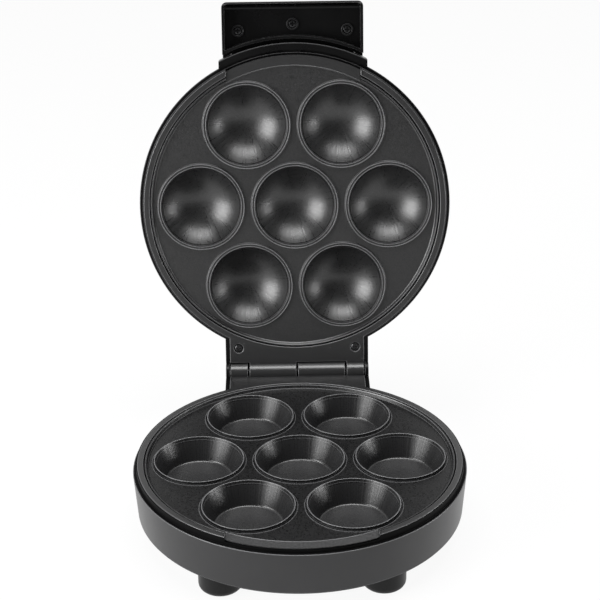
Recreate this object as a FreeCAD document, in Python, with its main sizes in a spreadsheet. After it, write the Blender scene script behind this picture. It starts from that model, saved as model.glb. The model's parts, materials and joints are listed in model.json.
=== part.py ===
import FreeCAD, Part
import math
import os
import re
import Sketcher

# Seven-cup hinged baking appliance, in millimetres, lid open as it stands on a table.
# The origin is on the base's upright axis at table level, +Y points to the hinge, +Z is up.
# Depths are measured from the parting plane into a half, so one formula serves base and lid.

SIZES = {
    # cooking plates
    "cup_mouth_radius": 26.2,
    "cup_draft": 6.3,
    "cup_depth": 11.7,
    "cup_gap": 4.2,
    "lip_height": 2.0,
    "lip_top_width": 0.6,
    "lip_run": 1.1,
    "dome_margin": 0.1,
    "dome_edge": 1.6,
    "dome_depth": 13.5,
    "face_height": 43.5,
    "rim_height": 2.5,
    "closing_gap": 0.3,
    "plate_border": 4.7,
    "plate_thickness": 2.0,
    "rim_top_width": 0.7,
    "rim_wall_run": 1.3,
    "notch_inset": 4.5,
    "notch_rim_width": 3.6,
    "notch_drop": 1.0,
    # frames
    "plate_gap": 0.4,
    "frame_width": 3.7,
    "frame_edge_height": 2.75,
    "skirt_thickness": 2.0,
    "skirt_depth": 9.0,
    "ledge_width": 4.5,
    "ledge_thickness": 2.0,
    "tab_half_width": 7.0,
    "seat_gap": 0.1,
    "fit_gap": 0.3,
    "overcut": 1.0,
    "trim_inset": 18.6,
    # plate screws
    "boss_inset": 14.6,
    "boss_radius": 4.0,
    "screw_radius": 1.5,
    "screw_head_margin": 1.2,
    "screw_head_height": 1.8,
    "screw_fit": 0.05,
    "washer_margin": 2.8,
    "recess_reach": 1.6,
    "recess_half_width": 0.4,
    "recess_depth": 0.9,
    # collars and shells
    "collar_width": 2.8,
    "collar_drop": 4.3,
    "collar_thickness": 1.7,
    "collar_overhang": 0.5,
    "seat_width": 3.8,
    "shell_thickness": 0.8,
    "drum_draft": 1.5,
    "floor_clear": 1.4,
    "cover_clear": 2.5,
    "cover_draft": 1.6,
    "cover_edge_radius": 9.0,
    # bottom cover and legs
    "cover_thickness": 2.0,
    "cover_lip": 0.8,
    "leg_radius": 12.8,
    "leg_round": 4.0,
    "leg_wall": 3.0,
    "leg_across_inset": 53.0,
    "leg_along_inset": 31.5,
    "pad_radius": 7.5,
    "pad_thickness": 2.5,
    "pad_proud": 1.0,
    "post_inset": 8.5,
    "post_radius": 4.0,
    "post_angle": 20.0,
    "post_grip": 7.0,
    "post_spare": 1.0,
    # hinge
    "hinge_offset": 9.8,
    "open_angle": 102.5,
    "barrel_radius": 5.75,
    "pin_radius": 2.5,
    "running_gap": 0.05,
    "knuckle_gap": 1.2,
    "barrel_gap": 0.55,
    "ear_gap": 0.45,
    "end_knuckle": 11.2,
    "lug_half_width": 46.4,
    "lug_wall": 2.4,
    "lug_depth": 16.0,
    "deck_thickness": 3.0,
    "lid_wall_set": 1.6,
    "rear_gap": 0.7,
    "hinge_screw_side": 8.5,
    "lid_screw_set": 15.9,
    "base_screw_set": 10.3,
    "hinge_screw_length": 10.0,
    "hinge_screw_sink": 2.1,
    "deck_skin": 1.0,
    # handle
    "apron_half_width": 47.0,
    "apron_width": 4.0,
    "handle_side_inset": 2.5,
    "handle_length": 23.5,
    "handle_corner": 4.0,
    "handle_wall": 2.2,
    "handle_clear": 2.6,
    "tray_depth": 9.0,
    "tray_floor": 2.0,
    "shelf_thickness": 2.4,
    "shelf_side_inset": 5.5,
    "shelf_length": 17.0,
    "cap_height": 7.0,
    "handle_boss_radius": 3.8,
    "handle_boss_height": 1.5,
    "handle_boss_inset": 9.9,
    "handle_boss_set": 7.1,
    "handle_boss_lead": 4.0,
    # heating
    "element_radius": 3.25,
    "element_bend": 10.0,
    "element_ends": 12.0,
    "clamp_thickness": 1.0,
    "clamp_hub_radius": 12.0,
    "clamp_arm_half_width": 7.0,
    "reflector_margin": 12.0,
    "reflector_thickness": 0.6,
    "reflector_drop": 2.6,
    "stud_radius": 4.0,
    # electrical pieces
    "block_side": 2.0,
    "block_set": 16.0,
    "block_length": 11.0,
    "block_height": 11.5,
    "block_slot_half_width": 0.9,
    "block_slot_depth": 3.5,
    "thermostat_radius": 8.0,
    "thermostat_height": 10.0,
    "fuse_radius": 3.0,
    "fuse_length": 18.0,
    "blade_length": 9.0,
    "blade_half_width": 3.0,
    "blade_thickness": 0.8,
    "blade_inset": 5.0,
    "lead_set": 6.0,
    "lead_radius": 1.5,
    "gland_bore": 3.3,
    "gland_wall": 1.7,
    "gland_flange_margin": 1.5,
    "gland_flange": 1.5,
    "gland_set": 5.3,
    "gland_stem": 4.0,
    "lamp_across": 11.0,
    "lamp_inset": 2.0,
    "lamp_radius": 2.4,
    "lamp_depth": 9.0,
    "lens_margin": 1.1,
    "lens_flange": 1.2,
    "lens_stem": 1.0,
    "bracket_side": 7.0,
    "bracket_lead_cover": 2.5,
    "bracket_reach": 7.0,
    "bracket_floor": 2.0,
}

# Sizes that follow from the ones above
DERIVED = {
    "lip_foot_radius": "cup_mouth_radius + lip_top_width + lip_run",
    "cup_floor_radius": "cup_mouth_radius - cup_draft",
    "dome_mouth_radius": "cup_mouth_radius + dome_margin",
    "dome_radius": "dome_mouth_radius - dome_edge",
    "cup_pitch": "2 * lip_foot_radius + cup_gap",
    "plate_radius": "cup_pitch + lip_foot_radius + plate_border",
    "notch_half_width": "apron_half_width - notch_inset",
    "trim_start": "plate_radius - trim_inset",
    "boss_circle": "plate_radius - boss_inset",
    "screw_head_radius": "screw_radius + screw_head_margin",
    "washer_head_radius": "screw_head_radius + washer_margin",
    "collar_radius": "plate_radius + plate_gap + frame_width + collar_width",
    "sheet_stack": "clamp_thickness + reflector_drop + reflector_thickness",
    "heating_stack": "2 * seat_gap + 2 * element_radius + sheet_stack",
    "shell_start": "closing_gap / 2 + collar_drop + collar_thickness",
    "cup_stack": "closing_gap / 2 + rim_height + cup_depth + plate_thickness + heating_stack",
    "dome_stack": "closing_gap / 2 + rim_height + dome_depth + plate_thickness + heating_stack",
    "drum_height": "cup_stack + floor_clear + cover_thickness - shell_start",
    "cover_height": "dome_stack + cover_clear + shell_thickness - shell_start",
    "leg_across": "collar_radius - leg_across_inset",
    "leg_along": "collar_radius - leg_along_inset",
    "post_circle": "collar_radius - post_inset",
    "post_hole": "post_grip + post_spare",
    "hinge_distance": "collar_radius + hinge_offset",
    "base_wall_set": "barrel_radius + barrel_gap + rear_gap + lug_wall",
    "hinge_screw_across": "lug_half_width - hinge_screw_side",
    "lid_screw_along": "hinge_distance - lid_screw_set",
    "base_screw_along": "hinge_distance - base_screw_set",
    "apron_radius": "collar_radius + apron_width",
    "handle_half_width": "apron_half_width - handle_side_inset",
    "handle_reach": "apron_radius + handle_length",
    "shelf_half_width": "handle_half_width - shelf_side_inset",
    "shelf_reach": "apron_radius + shelf_length",
    "handle_boss_across": "handle_half_width - handle_boss_inset",
    "handle_boss_along": "apron_radius + handle_boss_set",
    "handle_boss_front": "handle_boss_along + handle_boss_lead",
    "element_circle": "cup_pitch",
    "reflector_radius": "element_circle + reflector_margin",
    "block_half_width": "element_ends + block_side",
    "block_front": "element_circle + block_set",
    "block_back": "block_front + block_length",
    "lead_circle": "boss_circle + lead_set",
    "gland_radius": "gland_bore + gland_wall",
    "gland_flange_radius": "gland_radius + gland_flange_margin",
    "floor_top": "face_height + rim_height + closing_gap / 2 - shell_start - drum_height + cover_thickness",
    "gland_height": "floor_top + gland_set",
    "lens_radius": "lamp_radius + lens_margin",
    "lens_flange_radius": "lens_radius + lens_margin",
    "bracket_half_width": "lamp_across + bracket_side",
    "bracket_front": "lead_circle + bracket_lead_cover",
    "bracket_back": "lead_circle - bracket_reach",
    "bracket_height": "lamp_depth + bracket_floor",
}

NAMES = {**SIZES, **{alias: "=" + formula for alias, formula in DERIVED.items()}}
doc = FreeCAD.newDocument("part")
sheet = doc.addObject("Spreadsheet::Sheet", "Sizes")
for row, alias in enumerate(NAMES, start=1):
    sheet.set("A%d" % row, alias)
    sheet.setAlias("B%d" % row, alias)
for row, value in enumerate(NAMES.values(), start=1):
    sheet.set("B%d" % row, str(value))
doc.recompute()

WORD = re.compile(r"[a-z_]\w*")
NODES = {}

# Shared heights and radii as formulas of the sheet's names
SPLIT = "(face_height + rim_height + closing_gap / 2)"
RING = "(closing_gap / 2)"
FACE = "(closing_gap / 2 + rim_height)"
BACK = "(closing_gap / 2 + rim_height + plate_thickness)"
CREST = "(closing_gap / 2 + rim_height - lip_height)"
FRAME_IN = "(plate_radius + plate_gap)"
FRAME_OUT = "(plate_radius + plate_gap + frame_width)"
SKIRT_OUT = "(plate_radius + plate_gap + skirt_thickness)"
LEDGE_TOP = "(%s + seat_gap)" % BACK
LEDGE_END = "(%s + seat_gap + ledge_thickness)" % BACK
COLLAR_TOP = "(closing_gap / 2 + collar_drop)"
COLLAR_END = "(closing_gap / 2 + collar_drop + collar_thickness)"
COLLAR_IN = "(%s + fit_gap)" % SKIRT_OUT
SHELL_OUT = "(collar_radius - collar_overhang)"
SHELL_IN = "(collar_radius - collar_overhang - shell_thickness)"
SHELL_CLEAR = "(collar_radius - collar_overhang + fit_gap)"
DRUM_TOP = "(%s - %s)" % (SPLIT, COLLAR_END)
DRUM_END = "(%s - drum_height)" % DRUM_TOP
FLOOR_TOP = "floor_top"
COVER_IN = "(%s + cover_height - shell_thickness)" % COLLAR_END
BARREL_CLEAR = "(barrel_radius + barrel_gap)"
DECK_END = "(hinge_distance - %s)" % BARREL_CLEAR
TRAY_TOP = "(%s + tray_depth)" % COLLAR_TOP
SHELF_TOP = "(%s + tray_depth + tray_floor)" % COLLAR_TOP
SHELF_END = "(%s + tray_depth + tray_floor + shelf_thickness)" % COLLAR_TOP
TRAY_BACK = "(apron_radius + handle_clear)"
LAMP_ALONG = "(lamp_inset - lead_circle)"
CAVITY_END = {
    "base": "(%s + cup_depth + plate_thickness)" % FACE,
    "lid": "(%s + dome_depth + plate_thickness)" % FACE,
}
BOSS_ANGLES = (30, 150, 270)


def linked(formula):
    """Point every size name in a formula at its cell in the sheet."""
    return WORD.sub(lambda m: "Sizes." + m.group(0) if m.group(0) in NAMES else m.group(0), formula)


def number(formula):
    """The value of a formula now."""
    return float(sheet.evalExpression(linked(formula)))


def bind(item, name, formula):
    item.setExpression(name, linked(formula))


def level(half, depth):
    """Height of a depth below the parting plane in the base, or above it in the closed lid."""
    return "%s %s (%s)" % (SPLIT, "-" if half == "base" else "+", depth)


def span(half, shallow, deep):
    """Low and high level of a stretch between two depths."""
    ends = (level(half, deep), level(half, shallow))
    return ends if half == "base" else ends[::-1]


# Parametric bodies


def new_body(name):
    return doc.addObject("PartDesign::Body", name)


def origin_item(body, role):
    return [item for item in body.Origin.OriginFeatures if item.Role == role][0]


def add_sketch(body, name, role, rise=None):
    sketch = body.newObject("Sketcher::SketchObject", name)
    sketch.AttachmentSupport = [(origin_item(body, role), "")]
    sketch.MapMode = "FlatFace"
    if rise is not None:
        bind(sketch, "AttachmentOffset.Base.z", rise)
    return sketch


def place_point(sketch, geometry, end, x, y):
    """Hold a sketch point at two formulas measured from the origin."""
    for kind, formula in (("DistanceX", x), ("DistanceY", y)):
        here = number(formula)
        axis = -2 if kind == "DistanceX" else -1
        if formula == "0":
            sketch.addConstraint(Sketcher.Constraint("PointOnObject", geometry, end, axis))
            continue
        index = sketch.addConstraint(Sketcher.Constraint(kind, -1, 1, geometry, end, here))
        bind(sketch, "Constraints[%d]" % index, formula)


def draw(sketch, points, axis="0"):
    """Closed outline. A third entry on a point makes the stretch that ends there an arc about the axis."""
    places = [FreeCAD.Vector(number(p[0]), number(p[1]), 0) for p in points]
    ends = []
    for i, point in enumerate(points):
        start, stop = places[i - 1], places[i]
        if len(point) == 2:
            index = sketch.addGeometry(Part.LineSegment(start, stop), False)
            ends.append((index, 1, 2))
            continue
        middle = number(axis)
        rise = (stop.x - middle) ** 2 - (start.x - middle) ** 2 + stop.y ** 2 - start.y ** 2
        centre = FreeCAD.Vector(middle, rise / (2 * (stop.y - start.y)), 0)
        angles = [math.atan2(p.y - centre.y, p.x - centre.x) for p in (start, stop)]
        forward = (angles[1] - angles[0]) % (2 * math.pi) < math.pi
        if not forward:
            angles.reverse()
        circle = Part.Circle(centre, FreeCAD.Vector(0, 0, 1), (start - centre).Length)
        index = sketch.addGeometry(Part.ArcOfCircle(circle, angles[0], angles[1]), False)
        ends.append((index, 1, 2) if forward else (index, 2, 1))
        if axis == "0":
            sketch.addConstraint(Sketcher.Constraint("PointOnObject", index, 3, -2))
        else:
            held = sketch.addConstraint(Sketcher.Constraint("DistanceX", -1, 1, index, 3, middle))
            bind(sketch, "Constraints[%d]" % held, axis)
    for i, (index, first, last) in enumerate(ends):
        following = ends[(i + 1) % len(ends)]
        sketch.addConstraint(Sketcher.Constraint("Coincident", index, last, following[0], following[1]))
        place_point(sketch, index, last, points[i][0], points[i][1])


def turn(body, name, points, axis="0", cut=False):
    """Turn an outline of radius and height about an upright axis."""
    sketch = add_sketch(body, name + "_outline", "XZ_Plane")
    draw(sketch, points, axis)
    feature = body.newObject("PartDesign::Groove" if cut else "PartDesign::Revolution", name)
    feature.Profile = sketch
    if axis == "0":
        feature.ReferenceAxis = (sketch, ["V_Axis"])
    else:
        middle = number(axis)
        line = Part.LineSegment(FreeCAD.Vector(middle, 0, 0), FreeCAD.Vector(middle, 10, 0))
        index = sketch.addGeometry(line, True)
        place_point(sketch, index, 1, axis, "0")
        sketch.addConstraint(Sketcher.Constraint("Vertical", index))
        feature.ReferenceAxis = (sketch, ["Axis0"])
    feature.Angle = 360
    return feature


def add_circle(body, name, x, y, radius, rise):
    sketch = add_sketch(body, name + "_outline", "XY_Plane", rise)
    centre = FreeCAD.Vector(number(x), number(y), 0)
    index = sketch.addGeometry(Part.Circle(centre, FreeCAD.Vector(0, 0, 1), number(radius)), False)
    place_point(sketch, index, 3, x, y)
    held = sketch.addConstraint(Sketcher.Constraint("Radius", index, number(radius)))
    bind(sketch, "Constraints[%d]" % held, radius)
    return sketch


def post(body, name, x, y, radius, low, high):
    """Round post from a low to a high level."""
    feature = body.newObject("PartDesign::Pad", name)
    feature.Profile = add_circle(body, name, x, y, radius, low)
    bind(feature, "Length", "%s - (%s)" % (high, low))
    return feature


def drill(body, name, x, y, radius, low, high):
    """Round hole cut from a high level down to a low one."""
    feature = body.newObject("PartDesign::Pocket", name)
    feature.Profile = add_circle(body, name, x, y, radius, high)
    bind(feature, "Length", "%s - (%s)" % (high, low))
    return feature


def repeat_round(body, name, feature, count):
    """Copies of a feature, evenly spaced about the upright axis."""
    pattern = body.newObject("PartDesign::PolarPattern", name)
    pattern.Originals = [feature]
    pattern.Axis = (origin_item(body, "Z_Axis"), [""])
    pattern.Angle = 360
    pattern.Occurrences = count
    body.Tip = pattern
    return pattern


def round_edges(body, name, radius, wanted):
    """Fillet the edges of the body's tip that the wanted test picks."""
    doc.recompute()
    tip = body.Tip
    edges = ["Edge%d" % (i + 1) for i, edge in enumerate(tip.Shape.Edges) if wanted(edge)]
    fillet = body.newObject("PartDesign::Fillet", name)
    fillet.Base = (tip, edges)
    bind(fillet, "Radius", radius)
    return fillet


def circle_at(edge, radius, height):
    """True for a round edge of a radius at a level."""
    round_edge = isinstance(edge.Curve, Part.Circle)
    return round_edge and abs(edge.Curve.Radius - radius) < 0.01 and abs(edge.CenterOfMass.z - height) < 0.01


def turned(name, points):
    """A body made by one turning."""
    body = new_body(name)
    turn(body, name + "_turn", points)
    return body


# Solid primitives and booleans


def box(name, x, y, z, angle=0):
    """Box between pairs of formulas, turned about the upright axis."""
    item = doc.addObject("Part::Box", name)
    for side, (low, high) in zip(("Length", "Width", "Height"), (x, y, z)):
        bind(item, side, "%s - (%s)" % (high, low))
    item.Placement = FreeCAD.Placement(FreeCAD.Vector(), FreeCAD.Rotation(FreeCAD.Vector(0, 0, 1), angle))
    bind(item, "Placement.Base.x", "(%s) * cos(%d) - (%s) * sin(%d)" % (x[0], angle, y[0], angle))
    bind(item, "Placement.Base.y", "(%s) * sin(%d) + (%s) * cos(%d)" % (x[0], angle, y[0], angle))
    bind(item, "Placement.Base.z", z[0])
    return item


ALONG = {
    "x": FreeCAD.Rotation(FreeCAD.Vector(0, 1, 0), 90),
    "y": FreeCAD.Rotation(FreeCAD.Vector(1, 0, 0), -90),
    "z": FreeCAD.Rotation(),
}


def rod(name, radius, x, y, z, length, along="z"):
    """Cylinder from a start point along an axis."""
    item = doc.addObject("Part::Cylinder", name)
    bind(item, "Radius", radius)
    bind(item, "Height", length)
    item.Placement = FreeCAD.Placement(FreeCAD.Vector(), ALONG[along])
    for axis, formula in zip("xyz", (x, y, z)):
        bind(item, "Placement.Base." + axis, formula)
    return item


def upright(name, radius, x, y, low, high):
    return rod(name, radius, x, y, low, "%s - (%s)" % (high, low))


def fuse(name, items):
    joined = doc.addObject("Part::MultiFuse", name)
    joined.Shapes = items
    joined.Refine = False
    return joined


def cut(name, base, tools):
    result = doc.addObject("Part::Cut", name)
    result.Base = base
    result.Tool = tools[0] if len(tools) == 1 else fuse(name + "_tools", tools)
    return result


def common(name, first, second):
    result = doc.addObject("Part::Common", name)
    result.Base = first
    result.Tool = second
    return result


def group(name, items):
    several = doc.addObject("Part::Compound", name)
    several.Links = items
    return several


def solid(name, shape):
    item = doc.addObject("Part::Feature", name)
    item.Shape = shape
    return item


def node(label, item, half):
    """Name a finished piece. A lid piece is swung about the hinge to the open rest pose."""
    item.Label = label
    NODES[label] = item
    if half == "base":
        return
    turned_open = FreeCAD.Rotation(FreeCAD.Vector(-1, 0, 0), number("open_angle"))
    item.Placement = FreeCAD.Placement(FreeCAD.Vector(), turned_open)
    swing_y = "hinge_distance * (1 - cos(open_angle)) - %s * sin(open_angle)" % SPLIT
    swing_z = "%s * (1 - cos(open_angle)) + hinge_distance * sin(open_angle)" % SPLIT
    bind(item, "Placement.Base.y", swing_y)
    bind(item, "Placement.Base.z", swing_z)
    bind(item, "Placement.Rotation.Angle", "open_angle")


# Screws: a round head with a cross recess and a plain shank


def screw(name, x, y, head, shank, head_radius="screw_head_radius"):
    """Screw on an upright axis. Head and shank are pairs of levels, and the recess is in the far face."""
    top = upright(name + "_head", head_radius, x, y, head[0], head[1])
    stem = upright(name + "_shank", "screw_radius", x, y, shank[0], shank[1])
    whole = fuse(name + "_blank", [top, stem])
    face = ("%s - overcut" % head[0], "%s + recess_depth" % head[0])
    if number(head[0]) > number(shank[0]):
        face = ("%s - recess_depth" % head[1], "%s + overcut" % head[1])

    def slot(middle, half_width):
        return "(%s) - %s" % (middle, half_width), "(%s) + %s" % (middle, half_width)

    across = box(name + "_across", slot(x, "recess_reach"), slot(y, "recess_half_width"), face)
    along = box(name + "_along", slot(x, "recess_half_width"), slot(y, "recess_reach"), face)
    return cut(name, whole, [across, along])


def around(radius, angle):
    """Formulas for a point on a circle."""
    return "%s * cos(%s)" % (radius, angle), "%s * sin(%s)" % (radius, angle)


# Cooking plates


def cooking_plate(half):
    """Coated cast plate with a rim, seven hollows with raised lips, screw bosses and a centre stud."""
    label = half + "_cooking_plate"
    body = new_body(label)

    def high(depth):
        return level(half, depth)

    rim_inner = "plate_radius - rim_top_width"
    turn(body, label + "_disc", [
        ("0", high(BACK)),
        ("plate_radius", high(BACK)),
        ("plate_radius", high(RING)),
        (rim_inner, high(RING)),
        ("plate_radius - rim_top_width - rim_wall_run", high(FACE)),
        ("0", high(FACE)),
    ])
    notch = body.newObject("PartDesign::Revolution", label + "_notch_rim")
    sketch = add_sketch(body, label + "_notch_outline", "YZ_Plane")
    draw(sketch, [
        ("rim_wall_run + notch_rim_width - plate_radius", high(FACE)),
        ("notch_rim_width - plate_radius", high(RING)),
        ("rim_top_width / 2 - plate_radius", high(RING)),
        ("rim_top_width / 2 - plate_radius", high(BACK)),
        ("rim_wall_run + notch_rim_width - plate_radius", high(BACK)),
    ])
    notch.Profile = sketch
    notch.ReferenceAxis = (sketch, ["V_Axis"])
    notch.Midplane = True
    bind(notch, "Angle", "2 * asin(notch_half_width / plate_radius)")

    for place, axis in (("middle", "0"), ("ring", "cup_pitch")):

        def out(radius):
            return radius if axis == "0" else "cup_pitch + (%s)" % radius

        centre = axis
        if half == "base":
            wall = [
                (centre, high(CAVITY_END[half])),
                (out("cup_floor_radius + plate_thickness"), high(CAVITY_END[half])),
                (out("lip_foot_radius"), high(BACK)),
                (out("lip_foot_radius"), high(FACE)),
                (out("cup_mouth_radius + lip_top_width"), high(CREST)),
                (centre, high(CREST)),
            ]
            hollow = [
                (centre, high(FACE + " + cup_depth")),
                (out("cup_floor_radius"), high(FACE + " + cup_depth")),
                (out("cup_mouth_radius"), high(CREST)),
                (out("cup_mouth_radius"), high(CREST + " - lip_height")),
                (centre, high(CREST + " - lip_height")),
            ]
        else:
            wall = [
                (centre, high(CAVITY_END[half])),
                (out("dome_radius + plate_thickness"), high(BACK), "arc"),
                (out("lip_foot_radius"), high(BACK)),
                (out("lip_foot_radius"), high(FACE)),
                (out("dome_mouth_radius + lip_top_width"), high(CREST)),
                (centre, high(CREST)),
            ]
            hollow = [
                (centre, high(FACE + " + dome_depth")),
                (out("dome_radius"), high(FACE), "arc"),
                (out("dome_mouth_radius"), high(CREST)),
                (out("dome_mouth_radius"), high(CREST + " - lip_height")),
                (centre, high(CREST + " - lip_height")),
            ]
        walls = turn(body, label + "_%s_wall" % place, wall, axis)
        if place == "ring":
            repeat_round(body, label + "_walls", walls, 6)
        hollows = turn(body, label + "_%s_hollow" % place, hollow, axis, cut=True)
        if place == "ring":
            repeat_round(body, label + "_hollows", hollows, 6)

    first_x, first_y = around("boss_circle", BOSS_ANGLES[0])
    low, top = span(half, FACE + " + plate_thickness / 2", LEDGE_END + " - seat_gap")
    boss = post(body, label + "_boss", first_x, first_y, "boss_radius", low, top)
    repeat_round(body, label + "_bosses", boss, len(BOSS_ANGLES))
    low, top = span(half, FACE + " + plate_thickness / 2", LEDGE_END)
    hole = drill(body, label + "_hole", first_x, first_y, "screw_radius + screw_fit", low, top)
    repeat_round(body, label + "_holes", hole, len(BOSS_ANGLES))
    stud_end = CAVITY_END[half] + " + seat_gap + 2 * element_radius"
    low, top = span(half, CAVITY_END[half] + " - plate_thickness / 2", stud_end)
    post(body, label + "_stud", "0", "0", "stud_radius", low, top)
    low, top = span(half, CAVITY_END[half] + " + seat_gap", stud_end)
    drill(body, label + "_stud_hole", "0", "0", "screw_radius + screw_fit", low, top)
    node(label, body, half)


def plate_screws(half):
    """Washer-headed screws that hold the plate to the frame's tabs."""
    items = []
    for i, angle in enumerate(BOSS_ANGLES):
        x, y = around("boss_circle", angle)
        head = span(half, LEDGE_END, LEDGE_END + " + screw_head_height")
        shank = span(half, FACE + " + plate_thickness * 0.75", LEDGE_END + " + screw_head_height / 2")
        items.append(screw("%s_plate_screw_%d" % (half, i), x, y, head, shank, "washer_head_radius"))
    node(half + "_plate_screws", group(half + "_plate_screw_set", items), half)


# Frames with the hinge knuckles

KNUCKLE_EDGE = "(lug_half_width - lug_wall - fit_gap * 2)"
INNER_KNUCKLE = "(%s - end_knuckle - knuckle_gap * 1.5)" % KNUCKLE_EDGE
KNUCKLES = {
    "base": [
        ("-%s" % KNUCKLE_EDGE, "end_knuckle"),
        ("knuckle_gap / 2", INNER_KNUCKLE),
    ],
    "lid": [
        ("-%s + end_knuckle + knuckle_gap" % KNUCKLE_EDGE, INNER_KNUCKLE),
        ("%s - end_knuckle" % KNUCKLE_EDGE, "end_knuckle"),
    ],
}


def frame(half):
    """Matte moulded ring round the plate, with a ledge and tabs below it and knuckles at the back."""
    label = half + "_frame"

    def high(depth):
        return level(half, depth)

    ledge_in = FRAME_IN + " - ledge_width"
    edge_end = RING + " + frame_edge_height"
    ring = turned(label + "_ring", [
        (FRAME_IN, high(RING)),
        (FRAME_OUT, high(RING)),
        (FRAME_OUT, high(edge_end)),
        (SKIRT_OUT, high(edge_end)),
        (SKIRT_OUT, high("skirt_depth")),
        (FRAME_IN, high("skirt_depth")),
        (FRAME_IN, high(LEDGE_END)),
        (ledge_in, high(LEDGE_END)),
        (ledge_in, high(LEDGE_TOP)),
        (FRAME_IN, high(LEDGE_TOP)),
    ])
    pieces = [ring]
    holes = []
    for i, angle in enumerate(BOSS_ANGLES):
        reach = ("boss_circle - tab_half_width", FRAME_IN + " + skirt_thickness / 2")
        width = ("-tab_half_width", "tab_half_width")
        pieces.append(box("%s_tab_%d" % (label, i), reach, width, span(half, LEDGE_TOP, LEDGE_END), angle))
        x, y = around("boss_circle", angle)
        low, top = span(half, RING, "skirt_depth")
        holes.append(upright("%s_tab_hole_%d" % (label, i), "boss_radius + fit_gap", x, y, low, top))

    deck_half = "lug_half_width - lug_wall - fit_gap"
    deck_sides = ("-(%s)" % deck_half, deck_half)
    deck_levels = span(half, RING, RING + " + deck_thickness")
    deck = box(label + "_deck", deck_sides, ("trim_start", DECK_END), deck_levels)
    low, top = span(half, "0", "skirt_depth")
    middle = upright(label + "_deck_middle", FRAME_IN, "0", "0", low, top)
    pieces.append(cut(label + "_deck_trimmed", deck, [middle]))
    for i, (start, width) in enumerate(KNUCKLES[half]):
        name = "%s_knuckle_%d" % (label, i)
        pieces.append(rod(name, "barrel_radius", start, "hinge_distance", SPLIT, width, "x"))
        web_sides = (start, "%s + %s" % (start, width))
        web_levels = span(half, RING, RING + " + deck_thickness")
        pieces.append(box(name + "_web", web_sides, (DECK_END + " - lug_wall", "hinge_distance"), web_levels))
    bore = "pin_radius + running_gap"
    length = "2 * lug_half_width"
    holes.append(rod(label + "_bore", bore, "-lug_half_width", "hinge_distance", SPLIT, length, "x"))
    notch_levels = span(half, "0", RING + " + notch_drop")
    notch_sides = ("-notch_half_width", "notch_half_width")
    notch_along = ("-collar_radius", "-trim_start")
    holes.append(box(label + "_notch", notch_sides, notch_along, notch_levels))

    along = "base_screw_along" if half == "base" else "lid_screw_along"
    for i, side in enumerate(("-", "")):
        x = side + "hinge_screw_across"
        name = "%s_screw_hole_%d" % (label, i)
        if half == "base":
            low, top = span(half, RING + " + deck_skin", RING + " + deck_thickness + overcut")
            holes.append(upright(name, "screw_radius + screw_fit", x, along, low, top))
            continue
        low, top = span(half, "0", "skirt_depth")
        holes.append(upright(name, "screw_radius + screw_fit", x, along, low, top))
        low, top = span(half, "0", RING + " + hinge_screw_sink")
        holes.append(upright(name + "_sink", "screw_head_radius + fit_gap", x, along, low, top))
    node(label, cut(label, fuse(label + "_blank", pieces), holes), half)


def hinge_pin():
    """Steel pin through all four knuckles and the lid's two cheek ears."""
    start = "fit_gap - lug_half_width"
    length = "2 * lug_half_width - 2 * fit_gap"
    node("hinge_pin", rod("hinge_pin_rod", "pin_radius", start, "hinge_distance", SPLIT, length, "x"), "base")


# Collars between the frames and the outer shells


def collar_ring(half):
    """Flange on the shell's edge with a spigot inside it and a seat for the frame."""
    label = half + "_collar_ring"

    def high(depth):
        return level(half, depth)

    spigot_out = SHELL_IN + " - fit_gap"
    seat_end = "skirt_depth + collar_thickness"
    return turned(label, [
        (COLLAR_IN, high(COLLAR_TOP)),
        ("collar_radius", high(COLLAR_TOP)),
        ("collar_radius", high(COLLAR_END)),
        (spigot_out, high(COLLAR_END)),
        (spigot_out, high(seat_end)),
        (COLLAR_IN + " - seat_width", high(seat_end)),
        (COLLAR_IN + " - seat_width", high("skirt_depth")),
        (COLLAR_IN, high("skirt_depth")),
    ])


def lug_shell(half, back):
    """Hollow block behind the ring that carries the hinge, open towards the parting plane."""
    label = half + "_lug"
    outer_sides = ("-lug_half_width", "lug_half_width")
    inner_half = "lug_half_width - lug_wall"
    inner_sides = ("-(%s)" % inner_half, inner_half)
    outer = box(label + "_outer", outer_sides, ("trim_start", back), span(half, RING, "lug_depth"))
    inner_back = "%s - lug_wall" % back
    inner_levels = span(half, "0", "lug_depth - lug_wall")
    inner = box(label + "_inner", inner_sides, ("trim_start - overcut", inner_back), inner_levels)
    low, top = span(half, COLLAR_END, "lug_depth + lug_wall")
    beside_shell = upright(label + "_shell_room", SHELL_CLEAR, "0", "0", low, top)
    low, top = span(half, "0", COLLAR_END)
    beside_frame = upright(label + "_frame_room", FRAME_OUT + " + fit_gap", "0", "0", low, top)
    return cut(label + "_shell", outer, [inner, beside_shell, beside_frame])


POST_ANGLES = ("post_angle", "180 - post_angle", "180 + post_angle", "-post_angle")


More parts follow.
